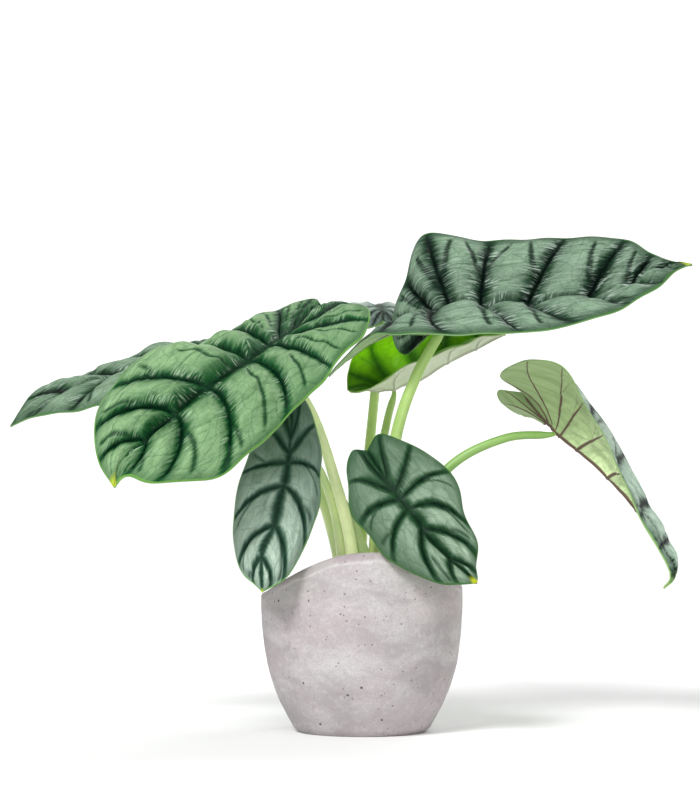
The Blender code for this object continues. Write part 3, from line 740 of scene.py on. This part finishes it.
def quilted_skin():
    """Group for the upper side. Near a vein the panel colour turns to green and then to almost
    black. The distance is pushed in and out by fine streaks that run away from the vein, which
    feathers the dark edge, and painted glints, bright strokes that stand in for light caught on
    the ridges, lie between them. Veins and Rib are the widths of the dark bands and Feather the
    length of the streaks in millimetres, Ripe the length of the coloured tip and Dry that of its
    dead point.
    Forks, Streaks and Thread say how strongly the small veins, streaks and pale midrib line show,
    and the glint share how strongly the painted glints show; the glint colour also lightens the
    streaks and specks. The shade share darkens the panels toward the veins, partly the leaf's
    deeper green there and partly painted shade on the puffed panels. Base darkens them toward the
    stalk,
    Left and Right paint shade over one half, and Edge is how green they turn at the margin."""
    tree, take, give = group(
        "quilted skin", ["Panel", "Green", "Dark", "Margin", "Tip", "Glints"],
        ["Veins", "Rib", "Feather", "Glinting", "Forks", "Edge", "Streaks", "Ripe", "Thread", "VeinShade",
         "Base", "Left", "Right", "Dry"], ["Base Color", "Roughness", "Height"])
    where = grain_place(tree)
    vein, rib, fork, edge, out, tip, share, side = (number(tree, key) for key in (
        "vein", "rib", "fork", "edge", "out", "tip", "share", "side"))
    by_vein = cloud(stretched(where, (7, 62, 1)), 1.0, 3, 0.65, 0.35)
    by_rib = cloud(stretched(where, (62, 7, 1)), 1.0, 3, 0.65, 0.35)
    wander = cloud(where, 7, 2, 0.5).math("MULTIPLY_ADD", 0.7, -0.35)
    slim = take("Veins") * out.fade(0.25, 1.0, 1.0, 0.58) * share.fade(0.6, 1.0, 1.0, 0.5)
    slim_rib = take("Rib") * tip.fade(0, 60, 0.35, 1.0)

    def reach(distance, width, streaks):
        return (distance + (streaks - 0.5) * take("Feather")) / width + wander

    away = reach(vein, slim, by_vein).math("MINIMUM", reach(rib, slim_rib, by_rib))
    fork = fork + (by_vein - 0.5) * (take("Feather") * 0.35)
    near = away.fade(1.0, 0.35).over(fork.fade(2.6, 0.1) * take("Forks"))
    core = away.fade(0.52, 0.05).over(vein.fade(1.5, 0.3))
    core = core.over(fork.fade(0.2, 1.2, 0.8, 0.0) * take("Forks"))
    # Panels darken toward the veins: partly the leaf's deeper green there, partly painted shade on
    # the slopes of the puffed panels.
    darker_green_and_shade = (vein / slim).math("MINIMUM", rib / slim_rib).fade(2.1, 0.5) * take("VeinShade")
    darker_green_and_shade = darker_green_and_shade.over(share.fade(0.6, 0.1) * take("Base"))
    # Left and Right paint shade over one half of the blade, where less light falls on it.
    for first, last, half in ((0.25, -0.9, "Left"), (-0.25, 0.9, "Right")):
        darker_green_and_shade = darker_green_and_shade.over(side.fade(first, last) * share.fade(0.9, 0.35) * take(half))

    blotch = cloud(where, 16, 4, 0.6)
    fine = cloud(where, 190, 3, 0.6)
    speck = cloud(where, 150, 2, 0.5).fade(0.56, 0.7, 0.0, 0.36)
    net = cells(stretched(where, (1.0, 0.8, 1)), 13, feature="DISTANCE_TO_EDGE")
    lines = net.fade(0.07, 0.015)
    band_side = vein.fade(0.6, 2.4) * (vein / slim).fade(1.9, 0.6)
    band_rib = rib.fade(0.6, 2.4) * (rib / slim_rib).fade(1.5, 0.5)
    thin_side = cloud(stretched(where, (11, 88, 1)), 1.0, 2, 0.6, 0.5).fade(0.46, 0.72)
    thin_rib = cloud(stretched(where, (88, 11, 1)), 1.0, 2, 0.6, 0.5).fade(0.48, 0.74)
    # Painted glints: short bright strokes beside the veins that stand in for light caught on the
    # steep sides of the puffs.
    glint = (rib - vein).fade(-0.6, 0.6).blend(band_rib * thin_rib, band_side * thin_side)
    glint = glint * take("Glinting") * share.fade(0.0, 0.22, 0.35, 1.0)
    glint = glint * cloud(where, 8, 2).fade(0.42, 0.6)
    thread = rib.fade(0.7, 0.2) * tip.fade(10, 40) * take("Thread")
    near_edge = wander.math("MULTIPLY_ADD", 5.0, edge).fade(8.0, 1.0) * take("Edge")
    green, glints = take("Green"), take("Glints")
    wire(give["Base Color"], layered(
        blotch.fade(0.35, 0.7, 0.0, 0.3).blend(take("Panel"), green),
        (by_vein.fade(0.45, 0.8) * take("Streaks"), glints),
        (fine.fade(0.35, 0.75, 0.0, 0.3), green),
        (speck, glints),
        # the deeper green and painted shade toward the veins, the stalk and one half
        (darker_green_and_shade, green),
        (near, green),
        (core, take("Dark")),
        (lines * 0.22, green),
        # the painted glints
        (glint, glints),
        (thread, take("Margin")),
        (near_edge, green),
        (edge.fade(0.5, 1.3, 0.9, 0.0), take("Margin")),
        (tip.fade(take("Ripe"), take("Ripe") * 0.3), take("Tip")),
        (tip.math("LESS_THAN", take("Dry")), (0.05, 0.03, 0.012))))
    wire(give["Roughness"], blotch.fade(0.3, 0.7, 0.36, 0.5) + near * 0.06 - glint * 0.1)
    height = (by_vein + by_rib * 0.4) * (take("Streaks") + 0.12)
    wire(give["Height"], height + fine * 0.14 - lines * 0.22 + glint * 0.4)
    return tree


def smooth_underside():
    """Group for the underside: pale and matt, with the raised midrib and side veins in a colour
    of their own, tapering outward, and a faint net of small veins. Veins and Rib are widths in
    millimetres, Bold how strongly they show and Base how dark the ground is toward the stalk."""
    tree, take, give = group("smooth underside", ["Ground", "Shade", "Line", "Margin"],
                             ["Veins", "Rib", "Bold", "Base"], ["Base Color", "Height"])
    where = grain_place(tree)
    vein, rib, fork, edge, out, share = (number(tree, key) for key in (
        "vein", "rib", "fork", "edge", "out", "share"))
    blotch = cloud(where, 14, 4, 0.6)
    fine = cloud(where, 220, 3, 0.6)
    lines = cells(where, 16, feature="DISTANCE_TO_EDGE").fade(0.06, 0.01)
    slim = take("Veins") * out.fade(0.1, 0.95, 1.0, 0.35)
    uneven = fine.math("MULTIPLY_ADD", 0.5, 0.75)
    marks = (vein * uneven / slim).fade(1.15, 0.75).over(
        (rib * uneven / take("Rib")).fade(1.15, 0.75))
    marks = marks.over(fork.fade(0.2, 0.8, 0.4, 0.0)) * take("Bold") * edge.fade(0.6, 2.5)
    shade = take("Shade")
    wire(give["Base Color"], layered(
        blotch.fade(0.32, 0.7, 0.0, 0.5).blend(take("Ground"), shade),
        (share.fade(0.5, 0.05) * take("Base"), shade),
        (fine.fade(0.35, 0.75, 0.0, 0.3), shade),
        (lines * 0.25, shade),
        (marks, take("Line")),
        (edge.fade(0.4, 1.2, 0.8, 0.0), take("Margin"))))
    wire(give["Height"], marks * 0.5 + fine * 0.2 + lines * 0.25)
    return tree


SKIN, UNDER = quilted_skin(), smooth_underside()


def dress(item, name, leaf):
    """Both materials of a blade, each its group with this leaf's own colours and widths."""
    top, shader = principled("top of " + name, leaf["top"]["Panel"], 0.42)
    shader.inputs["Specular IOR Level"].default_value = leaf["gloss"]
    clothe(shader, SKIN, leaf["top"], 0.0007, 0.8)
    under, shader = principled("underside of " + name, leaf["under"]["Ground"], 0.55)
    shader.inputs["Specular IOR Level"].default_value = 0.35
    clothe(shader, UNDER, leaf["under"], 0.0006, 0.7)
    item.data.materials.append(top)
    item.data.materials.append(under)


# Stalks. Each is a smooth juicy stem, thick and pale where it stands in the soil and slimmer and
# greener upward, that bends over at its top and joins the blade from below.
SOIL_DEPTH, STALK_RISE, STALK_CIRCLE = 22.0, 4.0, 14.0
STALK_APPROACH, STALK_END = 7.0, 2.4
TIP_RADIUS, TIP_LENGTH = 1.2, 10
STALK_FLAT, STALK_RIBS, STALK_STEPS, STALK_SIDES = 0.035, 0.012, 90, 28


def square_frames(path):
    """Two unit vectors square to the path at each point, carried along without twist."""
    tangent = np.gradient(path, axis=0)
    tangent /= np.linalg.norm(tangent, axis=1, keepdims=True)
    first, across = np.cross(tangent[0], (0.0, 1.0, 0.0)), []
    for t in tangent:
        first = first - t * np.dot(first, t)
        first = first / np.linalg.norm(first)
        across.append(first)
    across = np.array(across)
    return across, np.cross(tangent, across)


def grow_stalk(name, leaf, finish):
    """A tube along the smooth path from its hole in the soil to the blade, its radius falling
    from base to top as a power, a little flattened, with fine lengthwise ribs."""
    turn = math.radians(leaf["stalk_angle"])
    x, y = STALK_CIRCLE * math.cos(turn), STALK_CIRCLE * math.sin(turn)
    seat, up = seat_of(leaf)
    route = [(x, y, SOIL_LEVEL - SOIL_DEPTH), (x, y, SOIL_LEVEL + STALK_RISE)] + leaf["stalk_path"]
    heading = seat - np.array(route[-1], float)
    heading = up + heading / np.linalg.norm(heading)
    heading /= np.linalg.norm(heading)
    route += [tuple(seat - heading * STALK_APPROACH), tuple(seat - up * STALK_END)]
    path = through(route, np.linspace(0, len(route) - 1, STALK_STEPS))
    one, two = square_frames(path)
    wide, slim = leaf["stalk_radius"]
    share = np.linspace(0, 1, STALK_STEPS)
    radius = wide + (slim - wide) * share ** 0.8
    length = np.concatenate([[0], np.cumsum(np.linalg.norm(np.diff(path, axis=0), axis=1))])
    left = np.clip((length[-1] - length) / TIP_LENGTH, 0, 1)
    radius = TIP_RADIUS + (radius - TIP_RADIUS) * left ** 0.8
    radius[-3:] *= 0.95, 0.8, 0.4
    around = np.arange(STALK_SIDES)[None, :, None] * 2 * math.pi / STALK_SIDES
    lobed = 1 + STALK_FLAT * np.cos(2 * around) + STALK_RIBS * np.cos(9 * around)
    spokes = np.cos(around) * one[:, None] + np.sin(around) * two[:, None]
    item = tube("stalk_" + name, path[:, None] + radius[:, None, None] * lobed * spokes,
                path[0], path[-1])
    paint(item, "rise", np.append(np.repeat(share, STALK_SIDES), [0, 1]))
    unrolled = np.stack([np.repeat(length, STALK_SIDES), np.tile(4 * around.ravel(), STALK_STEPS)],
                        -1)
    lay_grain(item, np.vstack([unrolled, unrolled[:1], unrolled[-1:]]))
    item.data.materials.append(finish)
    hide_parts("petiole_" + name)
    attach(item, "root")


def juicy_skin():
    """Group for the stalks: pale at the base, greener upward, with fine streaks along them."""
    tree, take, give = group("juicy skin", ["Foot", "Middle", "Upper", "Deep"], [],
                             ["Base Color", "Height"])
    rise = number(tree, "rise")
    streaks = cloud(stretched(grain_place(tree), (5, 130, 1)), 1.0, 3, 0.6)
    mottle = cloud(object_place(tree), 60, 3, 0.6)
    wire(give["Base Color"], layered(
        rise.fade(0.15, 0.5).blend(take("Foot"), take("Middle")),
        (rise.fade(0.5, 0.95), take("Upper")),
        (streaks.fade(0.45, 0.75, 0.0, 0.4), take("Deep")),
        (mottle.fade(0.4, 0.75, 0.0, 0.25), take("Deep"))))
    wire(give["Height"], streaks)
    return tree


JUICY = juicy_skin()


def stalk_skin(name, foot, middle, upper):
    """Juicy green stem that glows a little, its streaks a deeper green than its middle."""
    material, shader = principled(name, middle, 0.38)
    shader.inputs["Specular IOR Level"].default_value = 0.5
    shader.inputs["Subsurface Weight"].default_value = 0.12
    shader.inputs["Subsurface Radius"].default_value = (0.5, 1.0, 0.2)
    shader.inputs["Subsurface Scale"].default_value = 0.002
    deep = (middle[0] * 0.45, middle[1] * 0.6, middle[2] * 0.5)
    clothe(shader, JUICY, dict(Foot=foot, Middle=middle, Upper=upper, Deep=deep), 0.0003, 0.5)
    return material


stem_skin = stalk_skin("pale green stalk", (0.74, 0.84, 0.36), (0.46, 0.64, 0.2),
                       (0.32, 0.52, 0.13))
# The large leaf's stalk is painted paler than the others: painted light, standing in for light
# shining through it in the leaf's shade.
backlit_stem_skin = stalk_skin("pale stalk with painted backlight", (0.82, 0.91, 0.44), (0.9, 0.98, 0.54),
                             (0.5, 0.68, 0.24))
# Stalks of the two leaves at the far left, painted paler at the foot and middle to make up for the
# shade they stand in: painted light.
shade_lifted_stem_skin = stalk_skin("stalk paled against shade", (0.88, 0.97, 0.54), (0.8, 0.94, 0.46),
                            (0.34, 0.54, 0.16))
bowed_stem_skin = stalk_skin("bowed stalk", (0.5, 0.66, 0.24), (0.24, 0.42, 0.1),
                             (0.22, 0.4, 0.09))


# Large leaf at the left. The brightest of the grown leaves, strongly quilted, hanging forward
# and down to a drip tip.
UNDER_PALE = dict(Ground=(0.36, 0.52, 0.27), Shade=(0.24, 0.4, 0.18), Line=(0.1, 0.055, 0.045),
                  Margin=(0.1, 0.21, 0.07), Veins=1.1, Rib=1.6, Bold=0.85)
# The last colour below is that of the painted glints, bright highlights beside the veins, which
# also lightens the pale streaks and specks.
SILVER = dict(Panel=(0.215, 0.33, 0.235), Green=(0.014, 0.044, 0.022), Dark=(0.002, 0.007, 0.005),
              Margin=(0.16, 0.34, 0.1), Tip=(0.45, 0.55, 0.05), Glints=(0.55, 0.68, 0.58),
              Forks=0.6, Thread=0.1)


def grow_leaf(name, title, stalk_finish, **own):
    """A whole leaf: its blade in both its materials, and its stalk. It is as usual in what its
    own values leave open."""
    leaf = {**USUAL, **own}
    dress(grow_blade(name, leaf), title, leaf)
    grow_stalk(name, leaf, stalk_finish)


grow_leaf(
    "left_large", "left large leaf", backlit_stem_skin,
    seed=1, puff=0.3, arch=(0.1, 0.08), rows=32, cols=50, steps=4,
    stalk_angle=-110, stalk_radius=(5.0, 2.3),
    stalk_path=[(-7, -15, 121), (-18, -14, 165), (-33, -13, 208)],
    stations=[
        (-26, 22, 277),
        [(-8, 24, 280), (-35, 6, 269), (-34, 38, 282)],
        [(6, -20, 267), (-45, -13, 260), (-57, 34, 275)],
        [(-19, -56, 235), (-59, -36, 250), (-87, 8, 260)],
        [(-44, -80, 208), (-71, -50, 240), (-115, -22, 245)],
        [(-64, -98, 187), (-84, -63, 231), (-136, -44, 246)],
        [(-88, -108, 169), (-99, -75, 221), (-159, -68, 222)],
        [(-123, -114, 163), (-118, -89, 204), (-168, -86, 198)],
        [(-145, -112, 168), (-136, -101, 186), (-164, -98, 176)],
        (-154, -108, 161),
    ],
    veins=[(0, 0, 0, 0, 0), (2.0, 1.2, 1.0, 1.2, 1.0), (2.6, 2.1, 2.0, 2.1, 2.0),
           (3.05, 2.95, 3.0, 3.0, 3.05), (4.05, 3.8, 4.15, 3.9, 4.1),
           (5.87, 5.5, 5.95, 5.8, 5.95), (6.93, 6.7, 7.15, 6.72, 7.1),
           (7.9, 7.75, 8.1, 7.7, 8.0), (9, 9, 9, 9, 9)],
    forks=[(-1, 3.45, 0.5, 3.6, 0.95), (-1, 4.4, 0.2, 4.42, 0.96), (-1, 5, 0.62, 4.75, 0.92),
           (-1, 6, 0.4, 5.5, 0.96), (1, 4.45, 0.08, 4.6, 0.6), (1, 5, 0.6, 4.72, 0.95),
           (1, 7, 0.35, 6.6, 0.9)],
    # Left paints shade over one half of this blade, where less light falls on it.
    top=dict(SILVER, Panel=(0.262, 0.43, 0.208), Green=(0.008, 0.076, 0.018),
             Dark=(0.001, 0.02, 0.007), Margin=(0.14, 0.34, 0.06), Glints=(0.52, 0.7, 0.48),
             Veins=6.8, Rib=12.0, Feather=8.0, Glinting=0.6, Forks=0.8, Edge=0.5, Streaks=0.3,
             Ripe=12.0, Thread=0.03, VeinShade=0.55, Base=0.35, Left=0.35),
    under=dict(UNDER_PALE, Margin=(0.17, 0.32, 0.09), Rib=1.8, Bold=0.7))


SHEATH_SUNK, SHEATH_HEIGHT, SHEATH_WIDTH, SHEATH_BULGE = 8, 86, 24, 2.2
sheath_skin = stalk_skin("papery sheath", (0.4, 0.5, 0.22), (0.46, 0.6, 0.26),
                         (0.46, 0.6, 0.26))


def grow_sheath():
    """The papery wing at the foot of this stalk: a sheet that starts in the soil as wide as the
    gap to the next stalk, bulges forward a little and narrows to nothing at a third of the
    height, where its free edge runs into the stalk."""
    rise, across = np.linspace(0, 1, 25)[:, None], np.linspace(0, 1, 13)[None, :]
    height = SOIL_LEVEL - SHEATH_SUNK + SHEATH_HEIGHT * rise
    axis_x, axis_y = -5 - 8 * rise ** 2, -13.6 - 0.6 * rise
    x = axis_x - 2 + across * (SHEATH_WIDTH * (1 - rise) ** 0.8 + 2)
    y = axis_y - SHEATH_BULGE * np.sin(math.pi * across) * (1 - rise) + 1.2 * across
    front = np.stack([x, y, height + 0 * x], -1)
    front[0], front[-1] = front[0, 6], front[-1, 6]
    item, kept, _ = shell("sheath_left_large", front, front + (0, 0.8, 0))
    paint(item, "rise", np.tile(np.repeat(0.1 * rise.ravel(), 13), 2)[kept])
    unrolled = np.stack([height + 0 * x, x], -1).reshape(-1, 2)
    lay_grain(item, np.tile(unrolled, (2, 1))[kept])
    item.data.materials.append(sheath_skin)
    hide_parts("petiole_left_large")
    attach(item, "root")


grow_sheath()


# Large leaf at the upper right. Silvery, folded up along its midrib, so its far half stands as a
# wall behind the near flap.


def even_veins(count, lean_left, lean_right):
    """Vein places by rule: the pairs stand at whole stations, lean by the given amounts half way
    out and at the margin, and in the rear lobes fan out from the stalk."""
    table = [(0, 0, 0, 0, 0), (2.0, 1.2, 1.0, 1.2, 1.0), (2.6, 2.1, 2.0, 2.1, 2.0)]
    for k in range(3, count):
        ease = min(1.0, (count - k) / 2)
        table.append((k, k + lean_left[0] * ease, k + lean_left[1] * ease,
                      k + lean_right[0] * ease, k + lean_right[1] * ease))
    return table + [(count,) * 5]


grow_leaf(
    "right_large", "right large leaf", stem_skin,
    seed=2, waves=0.5, puff=0.28, lobe=0.2, lift=(0, 7), arch=(0.04, 0.09),
    rows=32, cols=50, steps=4, fork_width=1.4,
    stalk_angle=15, stalk_radius=(4.8, 2.9),
    stalk_path=[(15, 2, 140), (23, 1, 195), (36, 2, 232)],
    stations=[
        (43, 8, 257),
        [(28, 20, 245), (46, 6, 261), (10, 12, 256)],
        [(19, 27, 261), (48, 4, 264), (-21, 7, 231)],
        [(28, 33, 293), (51, 2, 267), (2, -22, 255)],
        [(41, 38, 325), (59, 2, 270), (25, -47, 257)],
        [(83, 35, 320), (77, 0, 271), (82, -65, 257)],
        [(132, 24, 322), (106, -4, 272), (115, -62, 259)],
        [(171, 10, 320), (144, -8, 275), (155, -54, 269)],
        [(188, -2, 310), (172, -12, 282), (184, -38, 284)],
        [(201, -10, 305), (192, -14, 297), (200, -26, 297)],
        (213, -16, 303),
    ],
    veins=even_veins(10, (0.0, 0.05), (0.1, 0.5)),
    forks=[(-1, 5, 0.45, 4.62, 0.97), (-1, 5, 0.58, 5.34, 0.97), (-1, 6, 0.4, 5.55, 0.95),
           (-1, 4, 0.25, 3.6, 0.8), (-1, 4, 0.35, 4.42, 0.9), (-1, 7, 0.25, 6.5, 0.95),
           (-1, 8, 0.2, 7.45, 0.9), (1, 5, 0.3, 4.6, 0.9), (1, 6, 0.35, 5.6, 0.9)],
    top=dict(SILVER, Panel=(0.206, 0.32, 0.212), Green=(0.012, 0.042, 0.019),
             Margin=(0.05, 0.14, 0.035), Veins=10.0, Rib=11.0, Feather=10.0, Glinting=0.75,
             Forks=0.85, Edge=0.7, Streaks=0.4, Ripe=11.0, Thread=0.05, VeinShade=0.45),
    under=dict(UNDER_PALE, Veins=1.2, Rib=1.8))


# Young leaf behind the middle stalks. Fresh vivid green with hardly any quilting yet, and a
# cream-green underside that shows at the right.
grow_leaf(
    "young_green", "young leaf", stem_skin,
    slot="young_leaf", seed=3, puff=0.08, arch=(0.1, 0.14), rows=28, cols=36,
    pleats=False, groove=0.4, gloss=0.06, stalk_angle=58, stalk_radius=(3.8, 2.0),
    stalk_path=[(8, 14, 125), (11, 22, 170), (17, 34, 202)],
    stations=[
        (-9, 50, 221.5),
        [(-10, 56, 223), (3, 47, 223), (-6, 38, 220)],
        [(-9, 66, 234), (11, 46, 222), (6, 28, 222)],
        [(-2, 75, 248), (21, 46, 224), (22, 21, 233)],
        [(23, 80, 263), (39, 48, 229), (43, 20, 242)],
        [(53, 79, 267), (57, 50, 240), (63, 28, 251)],
        [(77, 71, 265), (76, 54, 249), (81, 42, 257)],
        (96, 58, 259),
    ],
    veins=even_veins(7, (0.1, 0.4), (0.1, 0.4)),
    top=dict(Panel=(0.15, 0.42, 0.001), Green=(0.05, 0.19, 0.001), Dark=(0.02, 0.1, 0.001),
             Margin=(0.22, 0.42, 0.04), Tip=(0.45, 0.5, 0.08), Glints=(0.15, 0.38, 0.008),
             Veins=7.0, Rib=6.0, Feather=2.0, Glinting=0.05, Forks=0.3, Edge=0.4, Streaks=0.1,
             Ripe=8.0, Thread=0.1, VeinShade=0.4),
    under=dict(Ground=(0.7, 0.77, 0.6), Shade=(0.56, 0.64, 0.44), Line=(0.26, 0.24, 0.17),
               Margin=(0.3, 0.42, 0.12), Veins=0.8, Rib=1.4, Bold=0.5, Base=0.2))


# Dark leaf at the far left, behind the large one. A dull silver-green blade, quilted as the
# large ones are, with its tip dried to a brown point.
grow_leaf(
    "back_left", "far left leaf", shade_lifted_stem_skin,
    seed=4, puff=0.21, arch=(0.1, 0.06), cols=36,
    stalk_angle=150, stalk_radius=(4.6, 2.2),
    stalk_path=[(-17, 10, 120), (-34, 22, 170), (-66, 42, 218)],
    stations=[
        (-69, 64, 246),
        [(-66, 46, 236), (-76, 61, 245), (-74, 82, 251)],
        [(-80, 24, 227), (-84, 58, 244), (-93, 96, 254)],
        [(-108, 6, 219), (-94, 54, 242), (-119, 100, 254)],
        [(-137, -6, 214), (-117, 48, 239), (-146, 94, 249)],
        [(-165, -5, 212), (-142, 41, 234), (-171, 78, 236)],
        [(-189, 2, 208), (-167, 33, 226), (-195, 60, 227)],
        [(-210, 8, 205), (-193, 24, 217), (-217, 36, 220)],
        (-230, 12, 198),
    ],
    veins=[(0, 0, 0, 0, 0), (2.0, 1.2, 1.0, 1.2, 1.0), (2.6, 2.1, 2.0, 2.1, 2.0),
           (3, 3.1, 3.5, 3.1, 3.5), (4.2, 4.4, 4.7, 4.4, 4.7), (5.5, 5.75, 6.1, 5.75, 6.1),
           (6.8, 7.0, 7.3, 7.0, 7.3), (8, 8, 8, 8, 8)],
    top=dict(SILVER, Panel=(0.215, 0.325, 0.215), Green=(0.018, 0.06, 0.024),
             Margin=(0.06, 0.15, 0.05), Tip=(0.1, 0.08, 0.04), Veins=6.0, Rib=7.0, Feather=7.0,
             Glinting=0.7, Forks=0.8, Edge=0.5, Streaks=0.35, Ripe=5.0, VeinShade=0.5, Base=0.2),
    under=UNDER_PALE)


# Dark leaf behind the middle, pointing away from the front on the longest stalk. Only a pleated
# grey-green sliver of its upper side shows.
grow_leaf(
    "back", "back leaf", stem_skin,
    seed=5, puff=0.12, groove=0.5, arch=(0.06, 0.06), cols=34,
    stalk_angle=103, stalk_radius=(4.2, 2.3),
    stalk_path=[(0, 22, 125), (4, 38, 172), (9, 67, 222), (11, 92, 252)],
    stations=[
        (14, 76, 268),
        [(6, 68, 264), (14, 82, 271), (23, 72, 265)],
        [(-8, 74, 265), (14, 90, 275), (38, 80, 267)],
        [(-21, 104, 272), (13, 104, 278), (50, 110, 270)],
        [(-27, 140, 274), (9, 132, 280), (47, 146, 272)],
        [(-20, 172, 272), (3, 167, 277), (26, 178, 272)],
        (-3, 204, 265),
    ],
    veins=even_veins(6, (0.1, 0.4), (0.1, 0.4)),
    top=dict(SILVER, Panel=(0.4, 0.465, 0.425), Green=(0.075, 0.118, 0.095), Veins=5.5, Rib=6.0,
             Feather=4.0, Glinting=0.05, Edge=0.3, Streaks=0.2, Ripe=5.0, VeinShade=0.3),
    under=UNDER_PALE)


# Narrow leaf that hangs down at the left of the rim. Dark silver-green with soft wide veins that
# sweep towards the tip.
grow_leaf(
    "hanging_left", "hanging leaf", shade_lifted_stem_skin,
    seed=6, pleats=False, rungs=1.9, puff=0.13, arch=(0.12, 0.12),
    cols=38, stalk_angle=-152, stalk_radius=(3.9, 1.9),
    stalk_path=[(-14, -7, 120), (-20, -9, 150), (-30, -20, 173)],
    stations=[
        (-45, -36, 207),
        [(-39, -26, 219), (-45, -40, 198), (-51, -26, 216)],
        [(-31, -30, 203), (-46, -45, 186), (-64, -27, 207)],
        [(-26, -36, 184), (-47, -50, 176), (-71, -34, 183)],
        [(-26, -42, 163), (-49, -55, 163), (-80, -42, 161)],
        [(-29, -50, 143), (-53, -58, 150), (-81, -47, 140)],
        [(-36, -58, 123), (-56, -62, 135), (-81, -54, 121)],
        [(-47, -66, 104), (-63, -67, 119), (-75, -62, 106)],
        (-63, -74, 94),
    ],
    veins=[(0, 0, 0, 0, 0), (1.6, 1.2, 1.0, 1.2, 1.0), (2.5, 2.2, 2.2, 2.2, 2.2),
           (3.1, 3.4, 3.9, 3.4, 3.7), (4.2, 4.95, 6.1, 4.5, 5.05),
           (5.95, 6.5, 7.25, 6.15, 6.7), (7.15, 7.4, 7.8, 7.3, 7.6), (8, 8, 8, 8, 8)],
    # Its panel colour is set pale to make up for the shade the large leaf casts on it: painted
    # light.
    top=dict(SILVER, Panel=(0.435, 0.56, 0.455), Green=(0.04, 0.096, 0.062),
             Dark=(0.008, 0.032, 0.018), Veins=3.9, Rib=4.2, Feather=1.6, Glinting=0.1, Edge=0.35,
             Streaks=0.06, Ripe=4.0, Thread=0.0, VeinShade=0.15, Base=0.8),
    under=dict(UNDER_PALE, Veins=1.0, Rib=1.5))


# Small leaf in front of the rim. Flat silvery panels with soft wide dark veins that spread from
# the stalk, and a yellow tip with a dried brown point.
grow_leaf(
    "front_small", "front leaf", stem_skin,
    seed=7, pleats=False, rungs=1.9, puff=0.16, arch=(0.08, 0.08),
    rows=30, cols=44,
    stalk_angle=-66, stalk_radius=(3.5, 1.8),
    stalk_path=[(7, -18, 110), (12, -27, 135), (19, -37, 148)],
    stations=[
        (3, -40, 183),
        [(11, -34, 194), (9, -44, 174), (-7, -37, 182)],
        [(27, -36, 189), (16, -48, 163), (-10, -42, 164)],
        [(56, -43, 170), (26, -53, 150), (-3, -56, 136)],
        [(65, -52, 144), (35, -58, 139), (20, -68, 112)],
        [(71, -61, 125), (41, -63, 129), (44, -74, 101)],
        [(73, -70, 109), (56, -71, 114), (60, -77, 100)],
        (72, -78, 100),
    ],
    veins=[(0, 0, 0, 0, 0), (2.0, 1.25, 1.05, 0.9, 0.6), (2.5, 2.3, 2.15, 2.05, 2.1),
           (2.85, 2.8, 3.0, 2.8, 3.05), (3.4, 3.65, 4.4, 3.6, 4.0), (4.6, 4.85, 5.5, 4.75, 5.25),
           (6.0, 6.05, 6.3, 5.85, 6.0), (7, 7, 7, 7, 7)],
    forks=[(-1, 5, 0.45, 4.6, 0.85), (1, 5.4, 0.5, 5.75, 0.95)],
    # Right paints shade over one half of this blade, where less light falls on it.
    top=dict(SILVER, Panel=(0.345, 0.47, 0.345), Green=(0.016, 0.06, 0.022),
             Dark=(0.004, 0.022, 0.009), Margin=(0.05, 0.13, 0.04), Tip=(0.5, 0.55, 0.03),
             Veins=5.0, Rib=8.0, Feather=1.5, Glinting=0.1, Edge=0.55, Streaks=0.05, Ripe=8.0,
             Thread=0.0, VeinShade=0.4, Base=0.95, Left=0.05, Right=0.7, Dry=1.2),
    under=dict(UNDER_PALE, Veins=0.9, Rib=1.4))


# Folded leaf at the right on the long bowed stalk. Its halves hang down like a tent, so its sage
# green underside with raised brown veins faces the front.
grow_leaf(
    "right_folded", "folded leaf", bowed_stem_skin,
    seed=8, waves=0.5, pleats=False, puff=0.09, arch=(0.05, 0.1),
    cols=40, stalk_angle=-27, stalk_radius=(4.2, 2.1),
    stalk_path=[(24, -9, 130), (57, -10, 172), (92, -8, 190)],
    stations=[
        (105, 4, 220),
        [(90, 10, 221), (111, 2, 213), (89, -18, 232)],
        [(93, 22, 213), (119, -2, 203), (106, -42, 241)],
        [(111, 42, 206), (127, -5, 195), (127, -52, 236)],
        [(133, 54, 231), (132, -7, 189), (141, -54, 214)],
        [(153, 52, 212), (142, -10, 181), (153, -52, 193)],
        [(172, 42, 182), (159, -14, 165), (165, -46, 168)],
        [(188, 28, 149), (177, -18, 144), (177, -38, 142)],
        [(200, 10, 125), (192, -22, 121), (189, -32, 121)],
        [(204, -14, 108), (201, -22, 102), (198, -27, 103)],
        (195, -18, 93),
    ],
    veins=[(0, 0, 0, 0, 0), (2.4, 1.1, 0.8, 1.1, 0.8), (2.7, 1.9, 2.0, 1.9, 2.0),
           (2.95, 2.95, 3.0, 2.95, 3.0), (3.5, 3.75, 4.0, 3.75, 4.0), (4.8, 4.95, 5.0, 4.95, 5.0),
           (6, 6, 6.1, 6, 6.1), (7, 7, 7.1, 7, 7.1), (8, 8, 8.1, 8, 8.1), (9, 9, 9, 9, 9),
           (10, 10, 10, 10, 10)],
    top=dict(SILVER, Panel=(0.44, 0.58, 0.46), Tip=(0.22, 0.4, 0.1), Veins=5.5, Rib=7.0,
             Feather=9.0, Glinting=0.6, Forks=0.7, Edge=0.6, Streaks=0.2, Ripe=14.0, VeinShade=0.35),
    under=dict(Ground=(0.81, 0.99, 0.55), Shade=(0.17, 0.275, 0.095), Line=(0.1, 0.05, 0.04),
               Margin=(0.2, 0.34, 0.11), Veins=1.1, Rib=1.7, Bold=0.95, Base=0.92))
